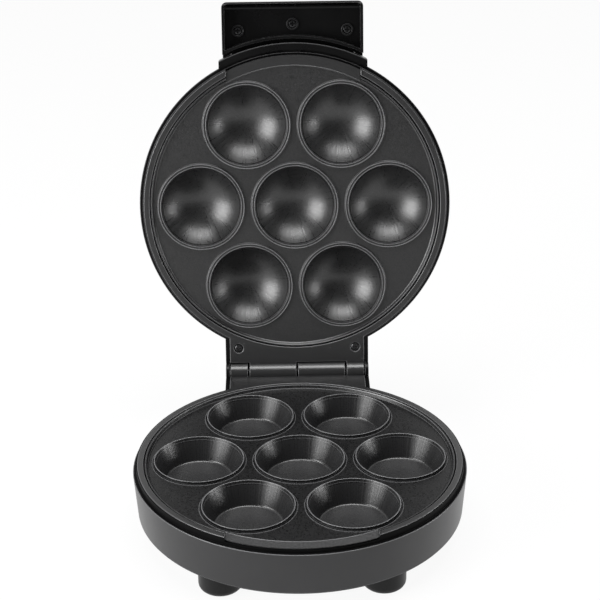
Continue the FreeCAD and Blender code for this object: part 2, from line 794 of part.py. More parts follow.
def base_collar():
    """Black ring that caps the drum, with the hinge lug, its screw bosses and the cover screws' posts."""
    back = "hinge_distance + base_wall_set"
    pieces = [collar_ring("base"), lug_shell("base", back)]
    holes = []
    y = "base_screw_along"
    for i, side in enumerate(("-", "")):
        x = side + "hinge_screw_across"
        low, top = span("base", RING + " + deck_thickness", "lug_depth")
        under = level("base", "lug_depth + overcut")
        sink = level("base", "lug_depth - screw_head_height - fit_gap")
        pieces.append(upright("base_lug_boss_%d" % i, "boss_radius", x, y, low, top))
        holes.append(upright("base_lug_hole_%d" % i, "screw_radius + screw_fit", x, y, under, top))
        holes.append(upright("base_lug_sink_%d" % i, "screw_head_radius + fit_gap", x, y, under, sink))
    for i, angle in enumerate(POST_ANGLES):
        x, y = around("post_circle", angle)
        top = level("base", "skirt_depth + collar_thickness / 2")
        pieces.append(upright("base_post_%d" % i, "post_radius", x, y, FLOOR_TOP, top))
        ends = (FLOOR_TOP + " - overcut", FLOOR_TOP + " + post_hole")
        holes.append(upright("base_post_hole_%d" % i, "screw_radius + screw_fit", x, y, *ends))
    ear_room = "barrel_radius + fit_gap + ear_gap"
    sides = ("-lug_half_width - overcut", "lug_half_width + overcut")
    whole = "2 * (lug_half_width + overcut)"
    holes.append(rod("base_ear_room", ear_room, sides[0], "hinge_distance", SPLIT, whole, "x"))
    stop = "%s + (lid_wall_set + cos(open_angle) * base_wall_set) / sin(open_angle) - fit_gap" % SPLIT
    behind = ("hinge_distance", back + " + overcut")
    holes.append(box("base_stop_room", sides, behind, (stop, SPLIT + " + lug_depth")))
    node("base_collar", cut("base_collar_cut", fuse("base_collar_blank", pieces), holes), "base")


def base_hinge_screws():
    """Screws from below that hold the base frame's deck to the lug."""
    items = []
    seat = "lug_depth - fit_gap"
    head = span("base", seat + " - screw_head_height", seat)
    shank = span("base", RING + " + deck_thickness / 2", seat + " - screw_head_height / 2")
    for i, side in enumerate(("-", "")):
        x = side + "hinge_screw_across"
        items.append(screw("base_hinge_screw_%d" % i, x, "base_screw_along", head, shank))
    node("base_hinge_screws", group("base_hinge_screw_set", items), "base")


def lid_lug():
    """The lid's lug with room for the barrels and an ear on each side that turns on the pin."""
    shell = lug_shell("lid", "hinge_distance - lid_wall_set")
    length = "2 * lug_half_width - 2 * lug_wall"
    start = "lug_wall - lug_half_width"
    room = rod("lid_barrel_room", BARREL_CLEAR, start, "hinge_distance", SPLIT, length, "x")
    pieces = [cut("lid_lug_open", shell, [room])]
    ear = "barrel_radius + fit_gap"
    for i, start in enumerate(("-lug_half_width", "lug_half_width - lug_wall")):
        pieces.append(rod("lid_ear_%d" % i, ear, start, "hinge_distance", SPLIT, "lug_wall", "x"))
    return pieces


def handle_root():
    """Deep apron at the lid's front and the shelf on it that carries the handle."""
    low, top = span("lid", COLLAR_TOP, SHELF_END)
    outer = upright("lid_apron_outer", "apron_radius", "0", "0", low, top)
    sides = ("-apron_half_width", "apron_half_width")
    along = ("-apron_radius - overcut", "-trim_start")
    slab = box("lid_apron_slab", sides, along, (low, top))
    low, top = span("lid", COLLAR_END, SHELF_END + " + overcut")
    room_shell = upright("lid_apron_shell_room", SHELL_CLEAR, "0", "0", low, top)
    low, top = span("lid", "0", COLLAR_END)
    room_frame = upright("lid_apron_frame_room", FRAME_OUT + " + fit_gap", "0", "0", low, top)
    apron = cut("lid_apron", common("lid_apron_arc", outer, slab), [room_shell, room_frame])
    sides = ("-shelf_half_width", "shelf_half_width")
    along = ("-shelf_reach", "-trim_start")
    shelf = box("lid_shelf_slab", sides, along, span("lid", SHELF_TOP, SHELF_END))
    return fuse("lid_handle_root", [apron, cut("lid_shelf", shelf, [room_shell])])


def lid_collar():
    """Black border of the lid with the hinge lug and the handle's root."""
    pieces = [collar_ring("lid")] + lid_lug()
    low, top = span("lid", COLLAR_END, "lug_depth")
    inside = upright("lid_boss_room", SHELL_CLEAR, "0", "0", low, top)
    holes = []
    y = "lid_screw_along"
    for i, side in enumerate(("-", "")):
        x = side + "hinge_screw_across"
        low, top = span("lid", RING + " + deck_thickness", "lug_depth")
        boss = upright("lid_boss_rod_%d" % i, "boss_radius", x, y, low, top)
        pieces.append(cut("lid_boss_%d" % i, boss, [inside]))
        low, top = span("lid", RING, "hinge_screw_length + deck_thickness")
        holes.append(upright("lid_boss_hole_%d" % i, "screw_radius + screw_fit", x, y, low, top))
    low, top = span("lid", TRAY_TOP, SHELF_END + " + overcut")
    for i, (x, y) in enumerate(HANDLE_BOSSES):
        holes.append(upright("lid_shelf_hole_%d" % i, "screw_radius + screw_fit", x, y, low, top))
    bore = "pin_radius + running_gap"
    start = "-lug_half_width - overcut"
    whole = "2 * (lug_half_width + overcut)"
    holes.append(rod("lid_ear_bore", bore, start, "hinge_distance", SPLIT, whole, "x"))
    blank = fuse("lid_collar_blank", [fuse("lid_collar_core", pieces), handle_root()])
    node("lid_collar", cut("lid_collar_cut", blank, holes), "lid")


def lid_hinge_screws():
    """Two black screws sunk in the lid's hinge deck."""
    items = []
    seat = RING + " + hinge_screw_sink"
    head = span("lid", seat + " - screw_head_height", seat)
    shank = span("lid", seat + " - screw_head_height / 2", "hinge_screw_length + deck_thickness / 2")
    for i, side in enumerate(("-", "")):
        x = side + "hinge_screw_across"
        items.append(screw("lid_hinge_screw_%d" % i, x, "lid_screw_along", head, shank))
    node("lid_hinge_screws", group("lid_hinge_screw_set", items), "lid")


# Outer shells


def base_shell():
    """Pressed drum with a slight inward draft and a hole for the cord gland at the back."""
    bottom = SHELL_OUT + " - drum_draft"
    body = turned("base_shell_body", [
        (SHELL_IN, DRUM_TOP),
        (SHELL_OUT, DRUM_TOP),
        (bottom, DRUM_END),
        (bottom + " - shell_thickness", DRUM_END),
    ])
    length = "collar_radius - trim_start"
    hole = rod("base_shell_hole", "gland_radius + screw_fit", "0", "trim_start", "gland_height", length, "y")
    node("base_shell", cut("base_shell_cut", body, [hole]), "base")


def dish(name, radius, shallow, deep, edge_round):
    """Drafted disc of the lid with its far edge rounded."""
    body = new_body(name)
    far_radius = radius + " - cover_draft"
    turn(body, name + "_turn", [
        ("0", level("lid", shallow)),
        (radius, level("lid", shallow)),
        (far_radius, level("lid", deep)),
        ("0", level("lid", deep)),
    ])
    far = number(level("lid", deep))
    round_edges(body, name + "_round", edge_round, lambda edge: circle_at(edge, number(far_radius), far))
    return body


def lid_cover():
    """Pressed dish over the lid with a rounded edge and two lamp holes."""
    end = COLLAR_END + " + cover_height"
    outer = dish("lid_cover_outer", SHELL_OUT, COLLAR_END, end, "cover_edge_radius")
    inner_round = "cover_edge_radius - shell_thickness"
    inner = dish("lid_cover_inner", SHELL_IN, COLLAR_END, COVER_IN, inner_round)
    holes = [inner]
    for i, side in enumerate(("-", "")):
        low, top = span("lid", COVER_IN + " - shell_thickness", end + " + shell_thickness")
        name = "lid_cover_lamp_hole_%d" % i
        holes.append(upright(name, "lens_radius + screw_fit", side + "lamp_across", LAMP_ALONG, low, top))
    node("lid_cover", cut("lid_cover_cut", outer, holes), "lid")


# Bottom cover, legs and pads

LEGS = [(sx + "leg_across", sy + "leg_along") for sx in ("-", "") for sy in ("-", "")]


def bottom_cover():
    """Moulded floor under the drum with four hollow round legs."""
    body = new_body("bottom_cover")
    lip_radius = SHELL_OUT + " - drum_draft - fit_gap"
    inner_radius = SHELL_OUT + " - drum_draft - shell_thickness - fit_gap"
    lip_bottom = DRUM_END + " - cover_lip"
    turn(body, "bottom_cover_disc", [
        ("0", lip_bottom),
        (lip_radius, lip_bottom),
        (lip_radius, DRUM_END),
        (inner_radius, DRUM_END),
        (inner_radius, FLOOR_TOP),
        ("0", FLOOR_TOP),
    ])
    for i, (x, y) in enumerate(LEGS):
        post(body, "bottom_cover_leg_%d" % i, x, y, "leg_radius", "pad_proud", DRUM_END)
    round_edges(body, "bottom_cover_leg_round", "leg_round",
                lambda e: circle_at(e, number("leg_radius"), number("pad_proud")))
    for i, (x, y) in enumerate(LEGS):
        drill(body, "bottom_cover_leg_hollow_%d" % i, x, y, "leg_radius - leg_wall",
              "pad_thickness + leg_wall", FLOOR_TOP)
        drill(body, "bottom_cover_pad_seat_%d" % i, x, y, "pad_radius + fit_gap", "0", "pad_thickness")
    for i, angle in enumerate(POST_ANGLES):
        x, y = around("post_circle", angle)
        drill(body, "bottom_cover_screw_hole_%d" % i, x, y, "screw_radius + screw_fit",
              lip_bottom + " - overcut", FLOOR_TOP)
    node("bottom_cover", body, "base")


def foot_pads():
    """Rubber discs pressed into the legs' ends."""
    items = []
    for i, (x, y) in enumerate(LEGS):
        items.append(upright("foot_pad_%d" % i, "pad_radius", x, y, "0", "pad_thickness"))
    node("foot_pads", group("foot_pad_set", items), "base")


def bottom_cover_screws():
    """Screws from below into the collar's posts."""
    items = []
    seat = DRUM_END + " - cover_lip"
    for i, angle in enumerate(POST_ANGLES):
        x, y = around("post_circle", angle)
        head = (seat + " - screw_head_height", seat)
        shank = (seat + " - screw_head_height / 2", FLOOR_TOP + " + post_grip")
        items.append(screw("bottom_cover_screw_%d" % i, x, y, head, shank))
    node("bottom_cover_screws", group("bottom_cover_screw_set", items), "base")


# Handle

HANDLE_BOSSES = [
    ("-handle_boss_across", "-handle_boss_along"),
    ("0", "-handle_boss_front"),
    ("handle_boss_across", "-handle_boss_along"),
]


def handle_block(name, inset, shallow, deep):
    """Handle outline with rounded outer corners and a hollow end that follows the lid."""
    sides = ("%s - handle_half_width" % inset, "handle_half_width - (%s)" % inset)
    along = ("%s - handle_reach" % inset, "-trim_start")
    low, top = span("lid", shallow, deep)
    slab = box(name + "_slab", sides, along, (low, top))
    lid_side = upright(name + "_lid_side", "%s + %s" % (TRAY_BACK, inset), "0", "0", low, top)
    shape = cut(name + "_outline", slab, [lid_side])
    corner = "handle_corner - %s" % inset
    corners = []
    for i, side in enumerate(("-", "")):
        x = "%s(handle_half_width - handle_corner)" % side
        y = "handle_corner - handle_reach"
        reach = ("handle_half_width - handle_corner", "handle_half_width + overcut")
        if side == "-":
            reach = ("-handle_half_width - overcut", "handle_corner - handle_half_width")
        block = box("%s_corner_%d" % (name, i), reach, ("-handle_reach - overcut", y), (low, top))
        keep = upright("%s_corner_keep_%d" % (name, i), corner, x, y, low, top)
        corners.append(cut("%s_corner_cut_%d" % (name, i), block, [keep]))
    return cut(name, shape, corners)


def handle_tray():
    """Hollow underside of the handle: a thin wall all round, a floor and three ring bosses."""
    blank = handle_block("handle_tray_blank", "0", COLLAR_TOP, SHELF_TOP)
    hollow = handle_block("handle_tray_hollow", "handle_wall", COLLAR_TOP + " - overcut", TRAY_TOP)
    pieces = [cut("handle_tray_shell", blank, [hollow])]
    holes = []
    for i, (x, y) in enumerate(HANDLE_BOSSES):
        low, top = span("lid", TRAY_TOP + " - handle_boss_height", TRAY_TOP + " + tray_floor / 2")
        pieces.append(upright("handle_tray_boss_%d" % i, "handle_boss_radius", x, y, low, top))
        low, top = span("lid", COLLAR_TOP, SHELF_TOP)
        holes.append(upright("handle_tray_hole_%d" % i, "screw_radius + screw_fit", x, y, low, top))
        low, top = span("lid", COLLAR_TOP, TRAY_TOP)
        holes.append(upright("handle_tray_sink_%d" % i, "screw_head_radius + fit_gap / 2", x, y, low, top))
    node("handle_tray", cut("handle_tray_cut", fuse("handle_tray_whole", pieces), holes), "lid")


def handle_cap():
    """Upper shell of the handle, closed over the shelf, with a pillar for each screw."""
    end = SHELF_TOP + " + shelf_thickness + cap_height"
    blank = handle_block("handle_cap_blank", "0", SHELF_TOP, end)
    below = SHELF_TOP + " - overcut"
    hollow = handle_block("handle_cap_hollow", "handle_wall", below, end + " - handle_wall")
    sides = ("-shelf_half_width - fit_gap", "shelf_half_width + fit_gap")
    along = ("-%s - handle_wall * 3" % TRAY_BACK, "-trim_start")
    mouth = box("handle_cap_mouth", sides, along, span("lid", below, SHELF_END + " + fit_gap"))
    pieces = [cut("handle_cap_shell", blank, [hollow, mouth])]
    holes = []
    for i, (x, y) in enumerate(HANDLE_BOSSES):
        low, top = span("lid", SHELF_END, end + " - handle_wall / 2")
        pieces.append(upright("handle_cap_pillar_%d" % i, "handle_boss_radius", x, y, low, top))
        low, top = span("lid", SHELF_TOP, end + " - handle_wall")
        holes.append(upright("handle_cap_hole_%d" % i, "screw_radius + screw_fit", x, y, low, top))
    node("handle_cap", cut("handle_cap_cut", fuse("handle_cap_whole", pieces), holes), "lid")


def handle_screws():
    """Screws in the tray's bosses that go through the shelf into the cap."""
    items = []
    for i, (x, y) in enumerate(HANDLE_BOSSES):
        head = span("lid", TRAY_TOP + " - screw_head_height", TRAY_TOP)
        shank = span("lid", TRAY_TOP + " - screw_head_height / 2", SHELF_END + " + cap_height / 2")
        items.append(screw("handle_screw_%d" % i, x, y, head, shank))
    node("handle_screws", group("handle_screw_set", items), "lid")


# Heating parts


def pipe(edges, start, direction, radius):
    """Round tube along a chain of tangent lines and arcs."""
    path = Part.Wire(edges)
    ring = Part.Wire([Part.makeCircle(radius, start, direction)])
    return path.makePipeShell([ring], True, True)


def heating_element(half):
    """Bent tubular heater: a ring under the hollows whose two ends turn back to the terminal block."""
    circle = number("element_circle")
    bend = number("element_bend")
    ends = number("element_ends")
    height = number(level(half, CAVITY_END[half] + " + seat_gap + element_radius"))
    stop = number("block_front - seat_gap")
    slant = math.asin((ends + bend) / (circle + bend))

    def spot(x, y):
        return FreeCAD.Vector(x, y, height)

    def on_ring(angle):
        return spot(circle * math.sin(angle), circle * math.cos(angle))

    def on_bend(side, share):
        turned_by = -math.pi / 2 + share * (slant - math.pi / 2)
        middle_y = (circle + bend) * math.cos(slant)
        return spot(side * (ends + bend + bend * math.sin(turned_by)), middle_y + bend * math.cos(turned_by))

    edges = [
        Part.LineSegment(spot(ends, stop), on_bend(1, 0)).toShape(),
        Part.Arc(on_bend(1, 0), on_bend(1, 0.5), on_bend(1, 1)).toShape(),
        Part.Arc(on_ring(slant), on_ring(math.pi), on_ring(-slant)).toShape(),
        Part.Arc(on_bend(-1, 1), on_bend(-1, 0.5), on_bend(-1, 0)).toShape(),
        Part.LineSegment(on_bend(-1, 0), spot(-ends, stop)).toShape(),
    ]
    shape = pipe(edges, spot(ends, stop), FreeCAD.Vector(0, -1, 0), number("element_radius"))
    node(half + "_heating_element", solid(half + "_element_tube", shape), half)


def element_top(half):
    return CAVITY_END[half] + " + 2 * seat_gap + 2 * element_radius"


def element_clamp(half):
    """Pressed three-armed strap that holds the heater against the hollows."""
    label = half + "_element_clamp"
    low, top = span(half, element_top(half), element_top(half) + " + clamp_thickness")
    pieces = [upright(label + "_hub", "clamp_hub_radius", "0", "0", low, top)]
    for i, angle in enumerate(BOSS_ANGLES):
        reach = ("0", "element_circle + 2 * element_radius")
        width = ("-clamp_arm_half_width", "clamp_arm_half_width")
        pieces.append(box("%s_arm_%d" % (label, i), reach, width, (low, top), angle))
    hole = upright(label + "_hole", "screw_radius + screw_fit", "0", "0", low, top)
    node(label, cut(label + "_cut", fuse(label + "_blank", pieces), [hole]), half)


def heat_reflector(half):
    """Thin dished sheet behind the heater, raised in the middle where the screw holds it."""
    label = half + "_heat_reflector"
    near = element_top(half) + " + clamp_thickness"
    far = near + " + reflector_drop"
    slope_end = "clamp_hub_radius + 2 * reflector_drop"
    body = turned(label + "_body", [
        ("screw_radius + screw_fit", level(half, near)),
        ("clamp_hub_radius", level(half, near)),
        (slope_end, level(half, far)),
        ("reflector_radius", level(half, far)),
        ("reflector_radius", level(half, far + " + reflector_thickness")),
        (slope_end, level(half, far + " + reflector_thickness")),
        ("clamp_hub_radius", level(half, near + " + reflector_thickness")),
        ("screw_radius + screw_fit", level(half, near + " + reflector_thickness")),
    ])
    node(label, body, half)


def clamp_screw(half):
    """Screw through reflector and clamp into the plate's stud."""
    seat = element_top(half) + " + clamp_thickness + reflector_thickness"
    head = span(half, seat, seat + " + screw_head_height")
    shank = span(half, CAVITY_END[half] + " + 2 * seat_gap", seat + " + screw_head_height / 2")
    node(half + "_clamp_screw", screw(half + "_clamp_screw_piece", "0", "0", head, shank), half)


# Electrical pieces


def terminal_block(half):
    """Ceramic block at the back of a half that takes the heater's ends and the leads."""
    label = half + "_terminal_block"
    seat = "%s - (%s)" % (SPLIT, FLOOR_TOP) if half == "base" else COVER_IN + " - seat_gap"
    levels = span(half, "%s - block_height" % seat, seat)
    sides = ("-block_half_width", "block_half_width")
    block = box(label + "_blank", sides, ("block_front", "block_back"), levels)
    sides = ("-block_slot_half_width", "block_slot_half_width")
    along = ("block_front - overcut", "block_back + overcut")
    top = "%s - block_height" % seat
    slot = box(label + "_slot", sides, along, span(half, top + " - overcut", top + " + block_slot_depth"))
    node(label, cut(label + "_cut", block, [slot]), half)


THERMOSTAT_ANGLE = 210
FUSE_ANGLE = -30
BLADE_SIDES = ("-blade_thickness / 2", "blade_thickness / 2")


def blade(name, middle, low, angle):
    """Flat terminal blade that hangs below a level."""
    reach = ("%s - blade_half_width" % middle, "%s + blade_half_width" % middle)
    return box(name, reach, BLADE_SIDES, ("%s - blade_length" % low, "%s + overcut" % low), angle)


def thermostat():
    """Snap-disc thermostat pressed against the base plate between two cups, with two blades."""
    x, y = around("boss_circle", THERMOSTAT_ANGLE)
    low, top = span("base", BACK + " + seat_gap", BACK + " + seat_gap + thermostat_height")
    pieces = [upright("thermostat_can", "thermostat_radius", x, y, low, top)]
    for i, middle in enumerate(("boss_circle - blade_inset", "lead_circle")):
        pieces.append(blade("thermostat_blade_%d" % i, middle, low, THERMOSTAT_ANGLE))
    node("thermostat", fuse("thermostat_whole", pieces), "base")


def thermal_fuse():
    """One-shot fuse in a sleeve on a foot under the base plate, with one blade for its lead."""
    x, y = around("boss_circle", FUSE_ANGLE)
    low, top = span("base", BACK + " + seat_gap", BACK + " + seat_gap + thermostat_height")
    middle = "(%s + (%s)) / 2" % (low, top)
    start = "%s - fuse_length / 2" % y
    sleeve = rod("thermal_fuse_sleeve", "fuse_radius", x, start, middle, "fuse_length", "y")
    foot = upright("thermal_fuse_foot", "fuse_radius", x, y, low, top)
    reach = ("boss_circle", "lead_circle + blade_half_width")
    bar = box("thermal_fuse_bar", reach, BLADE_SIDES, (low, "%s + fuse_radius" % low), FUSE_ANGLE)
    tab = blade("thermal_fuse_blade", "lead_circle", low, FUSE_ANGLE)
    node("thermal_fuse", fuse("thermal_fuse_whole", [sleeve, foot, bar, tab]), "base")


def lead(name, height, first, last):
    """Insulated lead bent to one arc between two angles."""
    circle = number("lead_circle")

    def spot(angle):
        return FreeCAD.Vector(circle * math.cos(angle), circle * math.sin(angle), height)

    arc = Part.Arc(spot(first), spot((first + last) / 2), spot(last)).toShape()
    heading = FreeCAD.Vector(-math.sin(first), math.cos(first), 0)
    return solid(name, pipe([arc], spot(first), heading, number("lead_radius")))


def leads():
    """Leads from the terminal blocks to the thermostat, the fuse and the lamps."""
    circle = number("lead_circle")
    blade_top = "%s - thermostat_height - seat_gap" % level("base", BACK)
    height = number("%s - blade_length / 2" % blade_top)
    touch = number("blade_thickness / 2 + seat_gap") / circle
    block_side = math.asin(number("block_half_width + seat_gap") / circle)
    straight_back = math.pi / 2
    thermostat_end = math.radians(THERMOSTAT_ANGLE) - touch
    fuse_end = math.radians(FUSE_ANGLE) + touch
    left = straight_back + block_side
    node("thermostat_lead", lead("thermostat_lead_tube", height, left, thermostat_end), "base")
    node("fuse_lead", lead("fuse_lead_tube", height, straight_back - block_side, fuse_end), "base")
    lamp_height = number(level("lid", COVER_IN + " - block_height / 2"))
    bracket_side = math.asin(number("bracket_half_width + seat_gap") / circle)
    lamp_end = 3 * straight_back - bracket_side
    node("lamp_lead", lead("lamp_lead_tube", lamp_height, left, lamp_end), "lid")


def cord_gland():
    """Round bush in the back of the drum, with its bore open for a mains cord."""
    start = "%s - drum_draft - gland_stem" % SHELL_OUT
    seat = "%s + fit_gap" % SHELL_OUT
    length = "%s + gland_flange - (%s)" % (seat, start)
    height = "gland_height"
    stem = rod("cord_gland_stem", "gland_radius", "0", start, height, length, "y")
    flange = rod("cord_gland_flange", "gland_flange_radius", "0", seat, height, "gland_flange", "y")
    whole = fuse("cord_gland_whole", [stem, flange])
    through = length + " + 2 * overcut"
    bore = rod("cord_gland_bore", "gland_bore", "0", start + " - overcut", height, through, "y")
    node("cord_gland", cut("cord_gland_cut", whole, [bore]), "base")


LAMPS = {"power": "-lamp_across", "ready": "lamp_across"}


def lamps():
    """Two small glow lamps in a bracket under the lid cover, each below a clear lens."""
    y = LAMP_ALONG
    end = COLLAR_END + " + cover_height"
    bulbs = []
    sockets = []
    for name, x in LAMPS.items():
        low, top = span("lid", end, end + " + lens_flange")
        flange = upright(name + "_lens_flange", "lens_flange_radius", x, y, low, top)
        low, top = span("lid", COVER_IN + " - lens_stem", end)
        stem = upright(name + "_lens_stem", "lens_radius", x, y, low, top)
        node(name + "_lamp_lens", fuse(name + "_lens_whole", [flange, stem]), "lid")
        low, top = span("lid", COVER_IN + " - lamp_depth", COVER_IN + " - lens_stem - seat_gap")
        bulbs.append(upright(name + "_bulb", "lamp_radius", x, y, low, top))
        low, top = span("lid", COVER_IN + " - lamp_depth", COVER_IN)
        sockets.append(upright(name + "_socket", "lens_radius + fit_gap", x, y, low, top))
    node("indicator_lamps", group("indicator_lamp_set", bulbs), "lid")
    sides = ("-bracket_half_width", "bracket_half_width")
    along = ("-bracket_front", "-bracket_back")
    levels = span("lid", COVER_IN + " - bracket_height", COVER_IN + " - seat_gap")
    block = box("lamp_bracket_blank", sides, along, levels)
    node("lamp_bracket", cut("lamp_bracket_cut", block, sockets), "lid")


# The whole object, from the table up and then over the hinge

base_shell()
base_collar()
frame("base")
cooking_plate("base")
plate_screws("base")
base_hinge_screws()
hinge_pin()
heating_element("base")
element_clamp("base")
heat_reflector("base")
clamp_screw("base")
terminal_block("base")
thermostat()
thermal_fuse()
cord_gland()
bottom_cover()
foot_pads()
bottom_cover_screws()
lid_cover()
lid_collar()
frame("lid")
cooking_plate("lid")
plate_screws("lid")
lid_hinge_screws()
heating_element("lid")
element_clamp("lid")
heat_reflector("lid")
clamp_screw("lid")
terminal_block("lid")
handle_tray()
handle_cap()
handle_screws()
lamps()
leads()
doc.recompute()

# Test every object, then write the pieces

failed = [item.Name for item in doc.Objects if "Invalid" in item.State or "Error" in item.State]
for label, item in NODES.items():
    if item.Shape.isNull() or not item.Shape.isValid() or not item.Shape.Solids:
        failed.append(label)
if failed:
    raise RuntimeError("failed objects: " + ", ".join(failed))
os.makedirs("parts", exist_ok=True)
for label, item in NODES.items():
    item.Shape.exportStep("parts/%s.step" % label)
    print(label, len(item.Shape.Solids), round(item.Shape.Volume))
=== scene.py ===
import json
import math
import bpy
from mathutils import Matrix, Vector


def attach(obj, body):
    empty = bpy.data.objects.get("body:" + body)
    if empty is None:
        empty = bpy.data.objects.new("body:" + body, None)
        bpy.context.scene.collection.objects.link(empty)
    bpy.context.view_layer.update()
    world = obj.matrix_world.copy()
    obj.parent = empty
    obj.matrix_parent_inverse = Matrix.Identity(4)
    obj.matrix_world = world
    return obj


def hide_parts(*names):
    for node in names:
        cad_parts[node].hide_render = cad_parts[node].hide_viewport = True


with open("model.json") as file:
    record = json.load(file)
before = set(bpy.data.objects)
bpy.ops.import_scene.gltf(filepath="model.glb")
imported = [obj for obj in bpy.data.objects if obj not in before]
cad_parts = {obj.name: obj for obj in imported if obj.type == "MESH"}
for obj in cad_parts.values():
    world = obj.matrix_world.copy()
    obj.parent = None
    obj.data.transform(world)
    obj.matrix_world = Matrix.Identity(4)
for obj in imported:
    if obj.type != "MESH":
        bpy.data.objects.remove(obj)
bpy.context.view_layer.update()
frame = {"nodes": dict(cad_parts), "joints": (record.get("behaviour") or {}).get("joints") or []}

# Camera
# A long lens in front of the open appliance and above it, found by fitting the cups' and domes'
# lips in the photograph. It looks down at the base plate and sees the lid nearly face on.
FOCAL_LENGTH, FILM_WIDTH, FAR_END = 102.75, 36, 20
CAMERA_PLACE = (-0.0083, -0.8847, 0.5624)
PITCH, YAW, ROLL = (math.radians(angle) for angle in (25.06, 0.61, -0.63))
camera_data = bpy.data.cameras.new("camera")
camera_data.lens = FOCAL_LENGTH
camera_data.sensor_width = FILM_WIDTH
camera_data.clip_end = FAR_END
camera = bpy.data.objects.new("camera", camera_data)
bpy.context.scene.collection.objects.link(camera)
tilt_down = Matrix.Rotation(math.pi / 2 - PITCH, 4, "X")
turn_right = Matrix.Rotation(-YAW, 4, "Z")
roll_over = Matrix.Rotation(ROLL, 4, "Z")
camera.matrix_world = Matrix.Translation(CAMERA_PLACE) @ turn_right @ tilt_down @ roll_over
bpy.context.scene.camera = camera

# Studio
# A white sweep of paper under and behind the appliance, which keeps a soft shadow, in a dim room.
# A large soft box stands on the left, a weaker one on the right, and a wide one hangs above.
FLOOR_SIDE = 12
PAPER_TONE, PAPER_GLOW = 0.9, 0.93
ROOM_TONE, BACKDROP_GLOW, BACKDROP_RISE = 0.1, 0.7, (0.1, 0.6)
LIGHTS_AIM = (0, 0.08, 0.12)


def neutral(level):
    """Plain grey with full cover, as a colour socket takes it."""
    return (level, level, level, 1)


def reckon(nodes, links, operation, *terms):
    """Result of a sum, a product or the like, whose terms are sockets or numbers."""
    node = nodes.new("ShaderNodeMath")
    node.operation = operation
    for entry, term in zip(node.inputs, terms):
        if isinstance(term, (int, float)):
            entry.default_value = term
        else:
            links.new(term, entry)
    return node.outputs[0]


def remap(nodes, links, value, from_low, from_high, to_low, to_high):
    """Value moved from one range to another and held inside it."""
    node = nodes.new("ShaderNodeMapRange")
    node.inputs["From Min"].default_value = from_low
    node.inputs["From Max"].default_value = from_high
    node.inputs["To Min"].default_value = to_low
    node.inputs["To Max"].default_value = to_high
    links.new(value, node.inputs["Value"])
    return node.outputs["Result"]


def looked_at(nodes, links):
    """Where a ray from the camera, a mirror or glass arrives, and where one from the camera does."""
    rays = nodes.new("ShaderNodeLightPath").outputs
    mirrored = reckon(nodes, links, "MAXIMUM", rays["Is Camera Ray"], rays["Is Glossy Ray"])
    seen = reckon(nodes, links, "MAXIMUM", mirrored, rays["Is Transmission Ray"])
    return seen, rays["Is Camera Ray"]


def send_mixed(nodes, links, output, amount, first, second):
    """Lead two shaders to an output, the second in place of the first by an amount."""
    mix = nodes.new("ShaderNodeMixShader")
    links.new(amount, mix.inputs["Fac"])
    links.new(first.outputs[0], mix.inputs[1])
    links.new(second.outputs[0], mix.inputs[2])
    links.new(mix.outputs[0], output.inputs["Surface"])


def soft_box(name, place, aim, width, height, power):
    """Rectangular studio light that faces a point."""
    data = bpy.data.lights.new(name, "AREA")
    data.shape = "RECTANGLE"
    data.size = width
    data.size_y = height
    data.energy = power
    light = bpy.data.objects.new(name, data)
    bpy.context.scene.collection.objects.link(light)
    facing = (Vector(aim) - Vector(place)).to_track_quat("-Z", "Y")
    light.matrix_world = Matrix.Translation(place) @ facing.to_matrix().to_4x4()


bpy.context.scene.view_settings.view_transform = "Standard"
bpy.ops.object.select_all(action="DESELECT")
bpy.ops.mesh.primitive_plane_add(size=FLOOR_SIDE)
floor = bpy.context.object
floor.name = "paper_floor"
paper = bpy.data.materials.new("white_paper")
paper.use_nodes = True
nodes, links = paper.node_tree.nodes, paper.node_tree.links
nodes.clear()
paper_face = nodes.new("ShaderNodeBsdfDiffuse")
paper_face.inputs["Color"].default_value = neutral(PAPER_TONE)
paper_light = nodes.new("ShaderNodeEmission")
paper_share = reckon(nodes, links, "MULTIPLY", looked_at(nodes, links)[0], PAPER_GLOW)
send_mixed(nodes, links, nodes.new("ShaderNodeOutputMaterial"), paper_share, paper_face, paper_light)
floor.data.materials.append(paper)

world = bpy.data.worlds.new("studio")
bpy.context.scene.world = world
world.use_nodes = True
nodes, links = world.node_tree.nodes, world.node_tree.links
nodes.clear()
room_dim = nodes.new("ShaderNodeBackground")
room_dim.inputs["Color"].default_value = neutral(ROOM_TONE)
room_white = nodes.new("ShaderNodeBackground")
room_white.inputs["Color"].default_value = neutral(1)
room_place = nodes.new("ShaderNodeTexCoord")
room_split = nodes.new("ShaderNodeSeparateXYZ")
links.new(room_place.outputs["Generated"], room_split.inputs["Vector"])
behind = remap(nodes, links, room_split.outputs["Y"], *BACKDROP_RISE, 0, BACKDROP_GLOW)
seen, from_camera = looked_at(nodes, links)
backdrop = reckon(nodes, links, "MULTIPLY", behind, seen)
white = reckon(nodes, links, "MAXIMUM", backdrop, from_camera)
send_mixed(nodes, links, nodes.new("ShaderNodeOutputWorld"), white, room_dim, room_white)

soft_box("left_soft_box", (-1.32, -0.68, 0.5), LIGHTS_AIM, width=1.0, height=1.1, power=32)
soft_box("right_soft_box", (1.5, -0.08, 0.2), LIGHTS_AIM, width=0.8, height=0.45, power=12)
soft_box("top_soft_box", (0.05, 0.03, 1.6), (0.05, 0.03, 0.1), width=1.4, height=0.8, power=25)

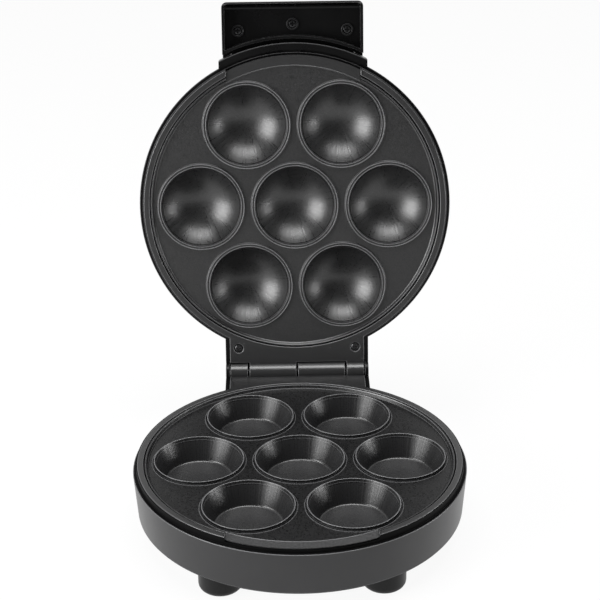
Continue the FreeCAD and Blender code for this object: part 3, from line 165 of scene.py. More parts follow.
# Foot pads
# Soft rubber discs that carry the appliance and keep it from sliding. Each is moulded with a
# rounded lower edge and pressed into a leg's end.
MM = 0.001
MERGE = 0.004 * MM
ARC_STEP, SMOOTH_ANGLE = math.radians(18), math.radians(32)
TONE_ENDS = (0.3, 0.7)
RELIEF = 0.1 * MM
ALONG = {"X": Vector((1, 0, 0)), "Y": Vector((0, 1, 0)), "Z": Vector((0, 0, 1))}
OUTWARD = {"X": Vector((0, 0, 1)), "Y": Vector((0, 0, 1)), "Z": Vector((1, 0, 0))}
LEGS = [(x, y) for x in (-46.5, 46.5) for y in (-68, 68)]
PAD_RADIUS, PAD_HEIGHT = 7.5, 2.5


def soften(outline):
    """Outline of (radius, height, rounding) with each rounded corner replaced by a short arc."""
    path = []
    for i, (radius, height, rounding) in enumerate(outline):
        corner = Vector((radius, height))
        if not rounding:
            path.append(corner)
            continue
        before = (Vector(outline[i - 1][:2]) - corner).normalized()
        after = (Vector(outline[(i + 1) % len(outline)][:2]) - corner).normalized()
        half = before.angle(after) / 2
        middle = corner + (before + after).normalized() * rounding / math.sin(half)
        first = corner + before * rounding / math.tan(half) - middle
        last = corner + after * rounding / math.tan(half) - middle
        begin = math.atan2(first.y, first.x)
        sweep = (math.atan2(last.y, last.x) - begin + math.pi) % (2 * math.pi) - math.pi
        steps = max(2, round(abs(sweep) / ARC_STEP))
        for k in range(steps + 1):
            angle = begin + sweep * k / steps
            path.append(middle + rounding * Vector((math.cos(angle), math.sin(angle))))
    return path


def lathe(name, outline, centre=(0, 0, 0), axis="Z", steps=144):
    """Turn a closed outline in millimetres about an axis through a centre."""
    middle = Vector(centre) * MM
    spots = [middle + OUTWARD[axis] * p.x * MM + ALONG[axis] * p.y * MM for p in soften(outline)]
    bpy.ops.object.select_all(action="DESELECT")
    bpy.ops.mesh.primitive_plane_add(size=MM)
    piece = bpy.context.object
    piece.name = name
    bpy.ops.object.mode_set(mode="EDIT")
    bpy.ops.mesh.merge(type="CENTER")
    bpy.ops.transform.translate(value=spots[0])
    for here, there in zip(spots, spots[1:] + spots[:1]):
        bpy.ops.mesh.extrude_region_move(TRANSFORM_OT_translate={"value": there - here})
    bpy.ops.mesh.select_all(action="SELECT")
    bpy.ops.mesh.spin(steps=steps, angle=2 * math.pi, center=middle, axis=ALONG[axis])
    bpy.ops.mesh.select_all(action="SELECT")
    bpy.ops.mesh.remove_doubles(threshold=MERGE)
    bpy.ops.mesh.normals_make_consistent(inside=False)
    bpy.ops.object.mode_set(mode="OBJECT")
    return piece


def only(piece):
    """Select one piece and nothing else."""
    bpy.ops.object.select_all(action="DESELECT")
    piece.select_set(True)
    bpy.context.view_layer.objects.active = piece


def join(name, pieces):
    """Several meshes as one piece."""
    only(pieces[0])
    for piece in pieces:
        piece.select_set(True)
    bpy.ops.object.join()
    pieces[0].name = name
    return pieces[0]


def dress(piece, body, slot, material, *replaced):
    """Smooth a finished piece, give it its material and fix it to its body."""
    only(piece)
    bpy.ops.object.shade_smooth_by_angle(angle=SMOOTH_ANGLE)
    even = piece.modifiers.new("even_normals", "WEIGHTED_NORMAL")
    even.keep_sharp = True
    bpy.ops.object.modifier_apply(modifier=even.name)
    piece.data.materials.clear()
    piece.data.materials.append(material)
    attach(piece, body)
    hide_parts(*replaced)


def noise(nodes, links, place, scale, detail):
    """Soft random pattern on the places of a surface."""
    cloud = nodes.new("ShaderNodeTexNoise")
    cloud.inputs["Scale"].default_value = scale
    cloud.inputs["Detail"].default_value = detail
    links.new(place, cloud.inputs["Vector"])
    return cloud.outputs["Fac"]


def recolour(nodes, links, tone, amount, colour):
    """Tone that gives way to another colour by an amount."""
    change = nodes.new("ShaderNodeMix")
    change.data_type = "RGBA"
    change.inputs["B"].default_value = (*colour, 1)
    links.new(amount, change.inputs["Factor"])
    links.new(tone, change.inputs["A"])
    return change.outputs["Result"]


def finish(name, dark, light, patch, roughness, grain, bump, metal=0.0, specular=0.5, edge=None):
    """Material with patches of tone and uneven gloss, a fine surface grain and, where an edge tone is given,
    a painted highlight on rounded edges.
    """
    material = bpy.data.materials.new(name)
    material.use_nodes = True
    nodes, links = material.node_tree.nodes, material.node_tree.links
    shader = nodes["Principled BSDF"]
    shader.inputs["Metallic"].default_value = metal
    shader.inputs["Specular IOR Level"].default_value = specular
    place = nodes.new("ShaderNodeTexCoord").outputs["Object"]
    cloud = noise(nodes, links, place, scale=1 / (patch * MM), detail=5)
    speck = noise(nodes, links, place, scale=1 / (grain * MM), detail=3)
    ramp = nodes.new("ShaderNodeValToRGB")
    for stop, position, colour in zip(ramp.color_ramp.elements, TONE_ENDS, (dark, light)):
        stop.position = position
        stop.color = (*colour, 1)
    links.new(cloud, ramp.inputs["Fac"])
    tone = ramp.outputs["Color"]
    # An edge tone is a painted highlight: a lighter colour on the narrow faces of rounded edges, where lamps
    # glint.
    if edge:
        edge_glint = nodes.new("ShaderNodeAttribute")
        edge_glint.attribute_name = "edge_glint"
        tone = recolour(nodes, links, tone, edge_glint.outputs["Fac"], edge)
    relief = nodes.new("ShaderNodeBump")
    relief.inputs["Strength"].default_value = bump
    relief.inputs["Distance"].default_value = RELIEF
    links.new(speck, relief.inputs["Height"])
    links.new(tone, shader.inputs["Base Color"])
    links.new(remap(nodes, links, cloud, *TONE_ENDS, *roughness), shader.inputs["Roughness"])
    links.new(relief.outputs["Normal"], shader.inputs["Normal"])
    return material


def grey(level):
    """Grey with a slightly cool cast."""
    return (level, level, level * 1.03)


pad_rubber = finish(
    "pad_rubber", grey(0.02), grey(0.035), patch=6, roughness=(0.65, 0.85), grain=0.4, bump=0.5
)
PAD = [(0, 0, 0), (PAD_RADIUS, 0, 0.8), (PAD_RADIUS, PAD_HEIGHT, 0.2), (0, PAD_HEIGHT, 0)]
pads = [lathe("pad", PAD, (x, y, 0), steps=64) for x, y in LEGS]
dress(join("foot_pad_set", pads), "base", "pad_rubber", pad_rubber, "foot_pads")

# Bottom cover with its legs
# One black moulding that closes the drum from below, with four round hollow legs. It is held by
# four screws that go up into the collar's posts.
COVER_UNDERSIDE, DRUM_FOOT, COVER_TOP = 14.7, 15.5, 17.5
COVER_EDGE, COVER_PLUG = 96.8, 95.7
LEG_RADIUS, LEG_END, LEG_TOP = 12.8, 1.0, 15.0
PAD_SEAT = PAD_RADIUS + 0.3
COVER = [
    (0, COVER_UNDERSIDE, 0), (COVER_EDGE, COVER_UNDERSIDE, 0.3), (COVER_EDGE, DRUM_FOOT, 0.1),
    (COVER_PLUG, DRUM_FOOT, 0), (COVER_PLUG, COVER_TOP, 0.3), (0, COVER_TOP, 0),
]
LEG = [
    (PAD_SEAT, PAD_HEIGHT, 0), (PAD_SEAT, LEG_END, 0.3), (LEG_RADIUS, LEG_END, 4),
    (LEG_RADIUS, LEG_TOP, 0), (0, LEG_TOP, 0), (0, PAD_HEIGHT, 0),
]
bottom_plastic = finish(
    "bottom_plastic", grey(0.004), grey(0.006), patch=14, roughness=(0.35, 0.45), grain=0.5, bump=0.15,
    specular=0.25,
)
cover = [lathe("cover_disc", COVER)]
cover += [lathe("leg", LEG, (x, y, 0), steps=96) for x, y in LEGS]
dress(join("bottom_cover_moulding", cover), "base", "bottom_moulding", bottom_plastic, "bottom_cover")

# Drum
# Pressed steel wall with a slight draft, coated satin dark grey, its upper edge rolled up over the
# collar's flange. The bottom cover closes it, and a hole at the back takes the cord's bush.
SHELL_RADIUS, SHELL_FOOT = 99.3, 97.4
INSIDE_TOP, INSIDE_FOOT = 97.1, 96.0
DRUM_TOP, ROLL_TOP, ROLL_INSIDE = 40, 41.6, 98.7
CORD_LEVEL, CORD_HOLE = 22.8, 5.05
# Faces narrower than this, in millimetres, count as rounded edges and get the painted edge highlight.
GLINT_STRIP_WIDTH = 0.33


def rod(name, radius, start, end, axis, steps=96, edge=0.0):
    """Round bar between two points along an axis, in millimetres."""
    length = sum(abs(b - a) for a, b in zip(start, end))
    outline = [(0, 0, 0), (radius, 0, edge), (radius, length, edge), (0, length, 0)]
    return lathe(name, outline, start, axis, steps)


def carve(piece, tool, operation="DIFFERENCE"):
    """Cut a tool out of a piece, fuse it on or keep what both share, and drop the tool."""
    only(piece)
    cutter = piece.modifiers.new("carve", "BOOLEAN")
    cutter.object = tool
    cutter.operation = operation
    cutter.solver = "EXACT"
    bpy.ops.object.modifier_apply(modifier=cutter.name)
    bpy.data.objects.remove(tool, do_unlink=True)
    return piece


def mark_edge_glints(piece):
    """Mark the narrow faces of rounded edges, which take a painted highlight."""
    mesh = piece.data
    edge_glint = mesh.attributes.new("edge_glint", "FLOAT", "FACE")
    for spot, face in zip(edge_glint.data, mesh.polygons):
        corners = [mesh.vertices[v].co for v in face.vertices]
        longest = max((a - b).length for a, b in zip(corners, corners[1:] + corners[:1]))
        spot.value = face.area < longest * GLINT_STRIP_WIDTH * MM
    return piece


# Its edge tone is a painted highlight along the rounding of the drum's rolled edge.
drum_paint = finish(
    "drum_paint", grey(0.025), grey(0.03), patch=30, roughness=(0.32, 0.38), grain=0.25, bump=0.1,
    metal=0.3, edge=grey(0.12),
)
drum = lathe("drum_wall", [
    (INSIDE_TOP, DRUM_TOP, 0), (ROLL_INSIDE, DRUM_TOP, 0), (ROLL_INSIDE, ROLL_TOP, 0.1),
    (SHELL_RADIUS, ROLL_TOP, 0.3), (SHELL_FOOT, DRUM_FOOT, 0.35), (INSIDE_FOOT, DRUM_FOOT, 0.3),
], steps=192)
carve(drum, rod("cord_hole", CORD_HOLE, (0, 80, CORD_LEVEL), (0, 110, CORD_LEVEL), "Y"))
dress(mark_edge_glints(drum), "base", "drum_paint", drum_paint, "base_shell")

# Base collar
# Black moulded ring on the drum's edge, with a hollow lug at the back that carries the hinge. The
# matte frame drops into it from above and is screwed to the lug from below.
# The pin's place behind the middle and its level, which the parting plane shares, come from the joint.
hinge = frame["joints"][0]
HINGE, SPLIT = (round(length / MM, 3) for length in hinge["pos_m"][1:])
OPEN = math.radians(hinge["range_deg"][1] - hinge["range_deg"][0])
# Depths count from the parting plane into a half, downwards in the base and upwards in the closed lid.
SIGN = {"base": -1, "lid": 1}
UPSTAND_IN, UPSTAND_OUT, UPSTAND_TOP = 96.85, 97.3, 0.35
FLANGE_EDGE, FLANGE_TOP, FLANGE_SEAT = {"base": 98.6, "lid": 99.5}, 4.45, 6.15
SPIGOT_IN, SPIGOT_OUT, SPIGOT_END = 95.3, 96.8, 10.7
NOTCH, NOTCH_SIDE = 2.4, 42.5
LUG_SIDE, LUG_WALL, LUG_TOP, LUG_FLOOR = 46.4, 2.4, 0.75, 16
LUG_FRONT, LUG_BACK = 74, {"base": 118.7, "lid": 107.7}
FRAME_ROOM, EAR_ROOM = 97.0, 6.5
# Cuts start just outside the parting plane, in front of the rings and beside the lugs.
CUT_START, CUT_FRONT, CUT_SIDE = -1, -110, 50


def block(name, low, high):
    """Box between two corners in millimetres."""
    bpy.ops.object.select_all(action="DESELECT")
    middle = [(a + b) / 2 * MM for a, b in zip(low, high)]
    size = [(b - a) * MM for a, b in zip(low, high)]
    bpy.ops.mesh.primitive_cube_add(size=1, location=middle, scale=size)
    bpy.ops.object.transform_apply(location=True, rotation=True, scale=True)
    piece = bpy.context.object
    piece.name = name
    return piece


def slab(name, half, x, y, depth):
    """Box of a half, its third side given as two depths from the parting plane."""
    levels = sorted(SPLIT + SIGN[half] * d for d in depth)
    return block(name, (x[0], y[0], levels[0]), (x[1], y[1], levels[1]))


def disc(name, half, radius, depth, centre=(0, 0), steps=144):
    """Upright cylinder of a half between two depths."""
    levels = sorted(SPLIT + SIGN[half] * d for d in depth)
    return rod(name, radius, (*centre, levels[0]), (*centre, levels[1]), "Z", steps)


def turned(name, half, outline, centre=(0, 0), steps=192):
    """Turned piece of a half, its outline given as radius, depth and rounding."""
    return lathe(name, [(r, SPLIT + SIGN[half] * d, c) for r, d, c in outline], (*centre, 0), steps=steps)


def pin_rod(name, radius, reach, steps=96, edge=0.0):
    """Round bar on the hinge's line, as far to the left as to the right."""
    return rod(name, radius, (-reach, HINGE, SPLIT), (reach, HINGE, SPLIT), "X", steps, edge)


def notch_tool(half, depth):
    """Block that cuts the steam notch into a half's front, down to a depth."""
    return slab("notch_tool", half, (-NOTCH_SIDE, NOTCH_SIDE), (CUT_FRONT, -60), (CUT_START, depth))


def ease(piece, width, clamp=True):
    """Round the sharp edges of a piece, width in millimetres, narrower in tight places if clamped."""
    only(piece)
    bpy.ops.object.mode_set(mode="EDIT")
    bpy.ops.mesh.select_all(action="SELECT")
    bpy.ops.mesh.remove_doubles(threshold=MERGE)
    if clamp:
        bpy.ops.mesh.dissolve_limited(angle_limit=math.radians(0.5))
    bpy.ops.object.mode_set(mode="OBJECT")
    round_off = piece.modifiers.new("round_off", "BEVEL")
    round_off.width = width * MM
    round_off.segments = 3
    round_off.limit_method = "ANGLE"
    round_off.angle_limit = math.radians(40)
    round_off.use_clamp_overlap = clamp
    bpy.ops.object.modifier_apply(modifier=round_off.name)
    return piece


def collar_ring(half):
    """Flange on the shell's edge, with a thin upstand against the frame and a spigot inside the shell."""
    edge = FLANGE_EDGE[half]
    upstand = [
        (UPSTAND_IN, FLANGE_TOP, 0), (UPSTAND_IN, UPSTAND_TOP, 0.1),
        (UPSTAND_OUT, UPSTAND_TOP, 0.2), (UPSTAND_OUT, FLANGE_TOP, 0.2),
    ]
    flange = [(edge, FLANGE_TOP, 0.5), (edge, FLANGE_SEAT, 0.3), (SPIGOT_OUT, FLANGE_SEAT, 0)]
    spigot = [(SPIGOT_OUT, SPIGOT_END, 0), (SPIGOT_IN, SPIGOT_END, 0), (SPIGOT_IN, FLANGE_TOP, 0.2)]
    piece = turned(half + "_collar_ring", half, upstand + flange + spigot)
    return carve(piece, notch_tool(half, NOTCH + 0.3))


def lug(half):
    """Hollow block behind the ring, open towards the parting plane."""
    back, inside, floor_inside = LUG_BACK[half], LUG_SIDE - LUG_WALL, LUG_FLOOR - LUG_WALL
    piece = slab(half + "_lug", half, (-LUG_SIDE, LUG_SIDE), (LUG_FRONT, back), (LUG_TOP, LUG_FLOOR))
    along = (LUG_FRONT - 4, back - LUG_WALL)
    carve(piece, slab("lug_inside", half, (-inside, inside), along, (CUT_START, floor_inside)))
    carve(piece, disc("shell_room", half, SHELL_RADIUS, (FLANGE_SEAT, LUG_FLOOR + 4)))
    carve(piece, disc("frame_room", half, FRAME_ROOM, (CUT_START, FLANGE_SEAT)))
    return piece


# The base collar is a real black moulding, here also near black and dull as painted shade: with its upstand
# it stands for the shadow gap under the frame's ring.
black_and_gap_shade = finish(
    "black_and_gap_shade", grey(0.002), grey(0.003), patch=25, roughness=(0.42, 0.5), grain=0.6, bump=0.06,
    specular=0.05,
)
base_lug = lug("base")
carve(base_lug, pin_rod("ear_room", EAR_ROOM, CUT_SIDE))
carve(base_lug, block("stop_room", (-CUT_SIDE, HINGE, SPLIT - LUG_TOP), (CUT_SIDE, 125, 60)))
ease(base_lug, width=0.5)
base_collar = join("base_collar_moulding", [collar_ring("base"), base_lug])
dress(base_collar, "base", "black_moulding", black_and_gap_shade, "base_collar")

# Base frame
# Matte dark grey heat-proof moulding: a raised ring round the plate, its front lowered so that
# steam can leave, and a flat deck at the back that ends in two hinge knuckles.
FRAME_IN, FRAME_OUT, FRAME_TOP, FRAME_LEDGE = 93.0, 96.7, 0.15, 2.9
SKIRT_OUT, SKIRT_END = 95.0, 9.0
DECK_SIDE, DECK_FRONT, DECK_BACK, DECK_UNDERSIDE = 43.7, 80, 103.0, 3.15
BARREL_RADIUS, PIN_BORE, WEB_ROOM = 5.75, 2.55, 4.0
# Start and end of each knuckle along the pin.
KNUCKLES = {"base": [(-43.4, -32.2), (0.6, 31.0)], "lid": [(-31.0, -0.6), (32.2, 43.4)]}
SCREW_SIDE, SINK_RADIUS, SINK_DEPTH = 37.9, 3.0, 2.25
LID_SCREWS = [(-SCREW_SIDE, 93.4), (SCREW_SIDE, 93.4)]


def pin_sleeve(name, radius, ends, bore_edge, edge):
    """Round sleeve on the pin between two places along it, with rounded rims."""
    start, end = ends
    near_rim = [(PIN_BORE, start, bore_edge), (radius, start, edge)]
    far_rim = [(radius, end, edge), (PIN_BORE, end, bore_edge)]
    return lathe(name, near_rim + far_rim, (0, HINGE, SPLIT), "X", 96)


def matte_frame(half):
    """Ring and deck as one piece, with the steam notch at the front and the half's knuckles."""
    piece = turned(half + "_frame_ring", half, [
        (FRAME_IN, FRAME_TOP, 0), (FRAME_OUT, FRAME_TOP, 0), (FRAME_OUT, FRAME_LEDGE, 0),
        (SKIRT_OUT, FRAME_LEDGE, 0), (SKIRT_OUT, SKIRT_END, 0), (FRAME_IN, SKIRT_END, 0),
    ])
    plate = (FRAME_TOP, DECK_UNDERSIDE)
    deck = slab("deck", half, (-DECK_SIDE, DECK_SIDE), (DECK_FRONT, DECK_BACK), plate)
    carve(deck, disc("deck_inside", half, FRAME_IN + 1, (CUT_START, 6), steps=192))
    carve(piece, deck, "UNION")
    carve(piece, notch_tool(half, NOTCH + 0.6))
    if half == "lid":
        for spot in LID_SCREWS:
            carve(piece, disc("screw_room", half, SINK_RADIUS, (CUT_START, SINK_DEPTH), spot, 48))
    for ends in KNUCKLES[half]:
        web = slab("web", half, ends, (DECK_BACK - 2, HINGE), plate)
        carve(web, pin_rod("web_room", WEB_ROOM, CUT_SIDE))
        carve(piece, web, "UNION")
    ease(piece, width=0.4, clamp=False)
    parts = [piece]
    for ends in KNUCKLES[half]:
        parts.append(pin_sleeve("barrel", BARREL_RADIUS, ends, bore_edge=0.15, edge=0.3))
    return mark_edge_glints(join(half + "_frame_moulding", parts))


# Its edge tone is a painted highlight on the moulding's rounded edges.
frame_plastic = finish(
    "frame_plastic", grey(0.009), grey(0.015), patch=0.6, roughness=(0.28, 0.36), grain=0.45, bump=0.5,
    specular=0.9, edge=grey(0.08),
)
dress(matte_frame("base"), "base", "frame_moulding", frame_plastic, "base_frame")

# Base cooking plate
# Cast aluminium plate with seven flat-bottomed cups, each with a raised lip, under a dark non-stick
# coating. Its edge turns up inside the frame and is a flat sandy band at the steam notch.
FACE, BACK, CREST, RIM = 2.65, 4.65, 0.65, 0.4
BEAD, GROOVE = FACE - 0.35, FACE + 0.5
PLATE_EDGE, RIM_IN, FACE_EDGE = 92.2, 91.6, 90.2
CUP_SPACING = 60
CUP_ANGLES = [k * math.pi / 3 for k in range(6)]
CUPS = [(0, 0)] + [(CUP_SPACING * math.cos(a), CUP_SPACING * math.sin(a)) for a in CUP_ANGLES]
CUP_ROOM, CUP_WALL = 28.7, 2.0
CUP_SKIRT = [(CUP_ROOM, BACK, 0), (CUP_ROOM, FACE, 0)]
CUP_MOUTH, CUP_FLOOR, CUP_FLOOR_RADIUS = 26.35, 14.35, 19.9
WALL_MIDDLE, WALL_REACH = 7.1, 6.25
COATING_GLOSS = {"base": (0.24, 0.37), "lid": (0.29, 0.42)}
COATING_SHINE, WALL_SHINE = 0.9, 0.33
# Depth, reach and tone of the painted highlight lines on the lips, the dull walls and the painted highlight
# on the corner above each cup's floor.
LIP_HIGHLIGHTS = [(CREST, 0.14, grey(0.13)), (BEAD, 0.1, grey(0.1))]
WALL_TONE_AND_CORNER_HIGHLIGHT = [(WALL_MIDDLE + 1.2, WALL_REACH - 1.05, grey(0.016)), (CUP_FLOOR + 0.2, 0.7, grey(0.02))]
MARKS = {"base": LIP_HIGHLIGHTS + WALL_TONE_AND_CORNER_HIGHLIGHT, "lid": LIP_HIGHLIGHTS}
BAND_IN, BAND_OUT, BAND_FOOT = 89.0, 96.0, 92.1
BAND_TOP, BAND_BEAD, BAND_LEDGE = NOTCH - 0.3, NOTCH - 0.5, NOTCH + 0.2


def non_stick(half):
    """Dark sprayed coating with a fine flake, streaked on steep walls, painted highlights on lips and base
    cups' floor corners.
    """
    material = finish(
        half + "_non_stick", grey(0.002), grey(0.018), patch=0.8, roughness=COATING_GLOSS[half],
        grain=0.7, bump=0.6, specular=COATING_SHINE,
    )
    nodes, links = material.node_tree.nodes, material.node_tree.links
    shader = nodes["Principled BSDF"]
    place = nodes.new("ShaderNodeTexCoord")
    closed = nodes.new("ShaderNodeMapping")
    if half == "lid":
        pin = Vector((0, HINGE, SPLIT)) * MM
        closed.inputs["Rotation"].default_value = (OPEN, 0, 0)
        closed.inputs["Location"].default_value = pin - Matrix.Rotation(OPEN, 3, "X") @ pin
    parted = nodes.new("ShaderNodeSeparateXYZ")
    links.new(place.outputs["Object"], closed.inputs["Vector"])
    links.new(closed.outputs["Vector"], parted.inputs["Vector"])

    def near(depth, reach):
        """One where the coating lies within a reach of a depth, with the lid closed."""
        level = (SPLIT + SIGN[half] * depth) * MM
        return reckon(nodes, links, "COMPARE", parted.outputs["Z"], level, reach * MM)

    tone = shader.inputs["Base Color"].links[0].from_socket
    # Painted highlights on the lips and the floor corners, and the walls' tone, laid on by depth with the
    # lid closed.
    for depth, reach, colour in MARKS[half]:
        tone = recolour(nodes, links, tone, near(depth, reach), colour)
    links.new(tone, shader.inputs["Base Color"])
    if half == "base":
        shine = remap(nodes, links, near(WALL_MIDDLE, WALL_REACH), 0, 1, COATING_SHINE, WALL_SHINE)
        links.new(shine, shader.inputs["Specular IOR Level"])
    around = nodes.new("ShaderNodeAttribute")
    around.attribute_name = "around"
    streak = noise(nodes, links, around.outputs["Vector"], scale=34, detail=3)
    worn = remap(nodes, links, streak, *TONE_ENDS, -0.1, 0.1)
    even = shader.inputs["Roughness"].links[0].from_socket
    links.new(reckon(nodes, links, "ADD", even, worn), shader.inputs["Roughness"])
    return material


def cup_outline():
    """Wall, double lip and inside of one cup, as radius, depth and rounding."""
    back = CUP_FLOOR + CUP_WALL
    outside = [(0, back, 0), (CUP_FLOOR_RADIUS + CUP_WALL, back, 2.5)]
    bead = [(CUP_MOUTH + 2.15, FACE, 0.1), (CUP_MOUTH + 1.85, BEAD, 0.12), (CUP_MOUTH + 1.5, BEAD, 0.12)]
    groove = [(CUP_MOUTH + 1.25, GROOVE, 0.1), (CUP_MOUTH + 0.65, GROOVE, 0.1)]
    crest = [(CUP_MOUTH + 0.55, CREST, 0.2), (CUP_MOUTH, CREST, 0.2)]
    inside = [(CUP_FLOOR_RADIUS, CUP_FLOOR, 1.2), (0, CUP_FLOOR, 0)]
    return outside + CUP_SKIRT + bead + groove + crest + inside


def cooking_plate(half, hollow):
    """Disc with a turned-up edge and seven turned hollows, each marked with the way round it."""
    piece = turned(half + "_plate_disc", half, [
        (0, BACK, 0), (PLATE_EDGE, BACK, 0.3), (PLATE_EDGE, RIM, 0.2),
        (RIM_IN, RIM, 0.2), (FACE_EDGE, FACE, 0.9), (0, FACE, 0),
    ])
    for spot in CUPS:
        carve(piece, disc("cup_room", half, CUP_ROOM, (CUT_START, 8), spot))
    carve(piece, notch_tool(half, NOTCH))
    parts = [piece]
    for x, y in CUPS:
        cup = turned("hollow", half, hollow, (x, y), steps=144)
        around = cup.data.attributes.new("around", "FLOAT_VECTOR", "POINT")
        for spot, vertex in zip(around.data, cup.data.vertices):
            away = Vector((vertex.co.x - x * MM, vertex.co.y - y * MM, 0))
            spot.vector = away.normalized() if away.length > MM else (0, 0, 0)
        parts.append(cup)
    return join(half + "_plate_casting", parts)


def notch_rim(half):
    """Flat band at the steam notch, across the plate's edge and the lowered frame, with a bead inside."""
    bead = [(BAND_IN, BAND_BEAD, 0.15), (BAND_IN + 0.6, BAND_BEAD, 0.15), (BAND_IN + 0.7, BAND_TOP, 0)]
    band = [(BAND_OUT, BAND_TOP, 0), (BAND_OUT, BAND_LEDGE, 0), (BAND_FOOT, BAND_LEDGE, 0)]
    foot = [(BAND_FOOT, BACK - 0.5, 0), (BAND_IN, BACK - 0.5, 0)]
    piece = turned(half + "_notch_rim", half, bead + band + foot)
    side = NOTCH_SIDE - 0.2
    carve(piece, slab("notch_span", half, (-side, side), (CUT_FRONT, -20), (-2, 8)), "INTERSECT")
    return mark_edge_glints(piece)


# Its edge tone is a painted highlight on the band's rounded edges.
sandy = finish(
    "sandy_rim", grey(0.004), grey(0.05), patch=1.1, roughness=(0.35, 0.55), grain=0.9, bump=0.9,
    specular=0.8, edge=grey(0.16),
)
base_plate = cooking_plate("base", cup_outline())
dress(base_plate, "base", "plate_coating", non_stick("base"), "base_cooking_plate")
dress(notch_rim("base"), "base", "plate_coating", sandy, "base_cooking_plate")

# Hinge pin
# Drawn steel rod with rounded ends, blackened. It is pushed through all knuckles and the lid
# collar's ears, and stays with the base.
PIN_RADIUS, PIN_REACH = 2.5, 46.1
pin_steel = finish(
    "pin_steel", grey(0.012), grey(0.02), patch=5, roughness=(0.4, 0.5), grain=0.2, bump=0.1, metal=1.0
)
pin_piece = pin_rod("hinge_pin_rod", PIN_RADIUS, PIN_REACH, steps=48, edge=0.5)
dress(pin_piece, "base", "pin_steel", pin_steel, "hinge_pin")

# Lid frame
# The same matte moulding as the base's, with the two other knuckles and two sunk screws. Like all
# of the lid's pieces it is modelled closed and then swung about the pin to the lid's stop.


def swing(piece):
    """Turn a piece of the closed lid about the pin to its open place."""
    about = Matrix.Translation((0, HINGE * MM, SPLIT * MM))
    piece.data.transform(about @ Matrix.Rotation(-OPEN, 4, "X") @ about.inverted())
    return piece


dress(swing(matte_frame("lid")), "lid", "frame_moulding", frame_plastic, "lid_frame")

# Lid hinge screws
# Two black steel cross-recess screws, sunk in the lid frame's deck. They go through it into the
# lid collar's lug.
HEAD_RADIUS, HEAD_FLAT, HEAD_CROWN, HEAD_HEIGHT, SHANK_RADIUS = 2.7, 2.0, 0.5, 1.8, 1.5
RECESS_WIDE, RECESS_LONG, RECESS_SHARE = 0.42, 1.5, 0.55


def cross_screw(name, half, spot, top, end):
    """Pan-head screw from the head's top to the shank's end, with a cross-shaped recess."""
    way = 1 if end > top else -1
    seat, crown = top + way * HEAD_HEIGHT, top + way * HEAD_CROWN
    head = [(0, top, 0), (HEAD_FLAT, top, 0.8), (HEAD_RADIUS, crown, 0.3), (HEAD_RADIUS, seat, 0.1)]
    shank = [(SHANK_RADIUS, seat, 0), (SHANK_RADIUS, end, 0.3), (0, end, 0)]
    screw = turned(name, half, head + shank, spot, steps=48)
    deep = sorted((top - (seat - top), top + (seat - top) * RECESS_SHARE))
    x, y = spot
    for wide, long in ((RECESS_WIDE, RECESS_LONG), (RECESS_LONG, RECESS_WIDE)):
        carve(screw, slab("recess", half, (x - wide, x + wide), (y - long, y + long), deep))
    return screw


def screw_set(name, half, spots, top, end):
    """Like screws as one piece."""
    return join(name, [cross_screw("screw", half, spot, top, end) for spot in spots])


black_steel = finish(
    "black_steel", grey(0.06), grey(0.09), patch=3, roughness=(0.2, 0.28), grain=0.2, bump=0.2, metal=0.9
)
hinge_screws = screw_set("lid_hinge_screw_set", "lid", LID_SCREWS, top=0.45, end=11.5)
dress(swing(hinge_screws), "lid", "black_screws", black_steel, "lid_hinge_screws")

# Lid cooking plate
# The same casting as the base's with shallow domes in place of cups, each with two fine lines on
# its lip. At the steam notch the frame's matte band takes the place of its edge.
DOME_REACH, DOME_DEPTH, DOME_STEPS = 24.5, 13.3, 18


def dome_outline():
    """Wall, double lip and inside of one dome, as radius, depth and rounding."""
    sphere = (DOME_REACH ** 2 + DOME_DEPTH ** 2) / (2 * DOME_DEPTH)
    middle = FACE + 0.2 + DOME_DEPTH - sphere
    edge = math.asin(DOME_REACH / sphere)
    angles = [edge * k / DOME_STEPS for k in range(DOME_STEPS + 1)]
    back = sphere + CUP_WALL
    outside = [(back * math.sin(a), middle + back * math.cos(a), 0) for a in angles]
    inside = [(sphere * math.sin(a), middle + sphere * math.cos(a), 0) for a in reversed(angles)]
    rim = DOME_REACH
    outer_line = [(rim + 3.7, FACE, 0.3), (rim + 3.2, CREST, 0.15), (rim + 2.8, CREST, 0.15)]
    flat = [(rim + 2.6, CREST + 0.4, 0.1), (rim + 1.7, CREST + 0.4, 0.1)]
    inner_line = [(rim + 1.55, CREST, 0.1), (rim + 1.25, CREST, 0.1), (rim + 0.7, GROOVE, 0.2)]
    return outside + CUP_SKIRT + outer_line + flat + inner_line + inside


lid_plate = cooking_plate("lid", dome_outline())
dress(swing(lid_plate), "lid", "plate_coating", non_stick("lid"), "lid_cooking_plate")
dress(swing(notch_rim("lid")), "lid", "frame_moulding", frame_plastic, "lid_cooking_plate")

# Lid collar
# Gloss black border of the lid: a moulded ring, a hollow lug with two ears on the pin, and at the
# front a deep apron with a shelf that the handle is screwed to.
EAR_RADIUS, BARREL_ROOM = 6.05, 6.3
APRON_EDGE, APRON_SIDE = 103.5, 47
SHELF_SIDE, SHELF_FRONT, SHELF_BACK = 39, -120.5, -84
SHELF_SEAT, SHELF_TOP = 15.45, 17.85
EAR_START = LUG_SIDE - LUG_WALL
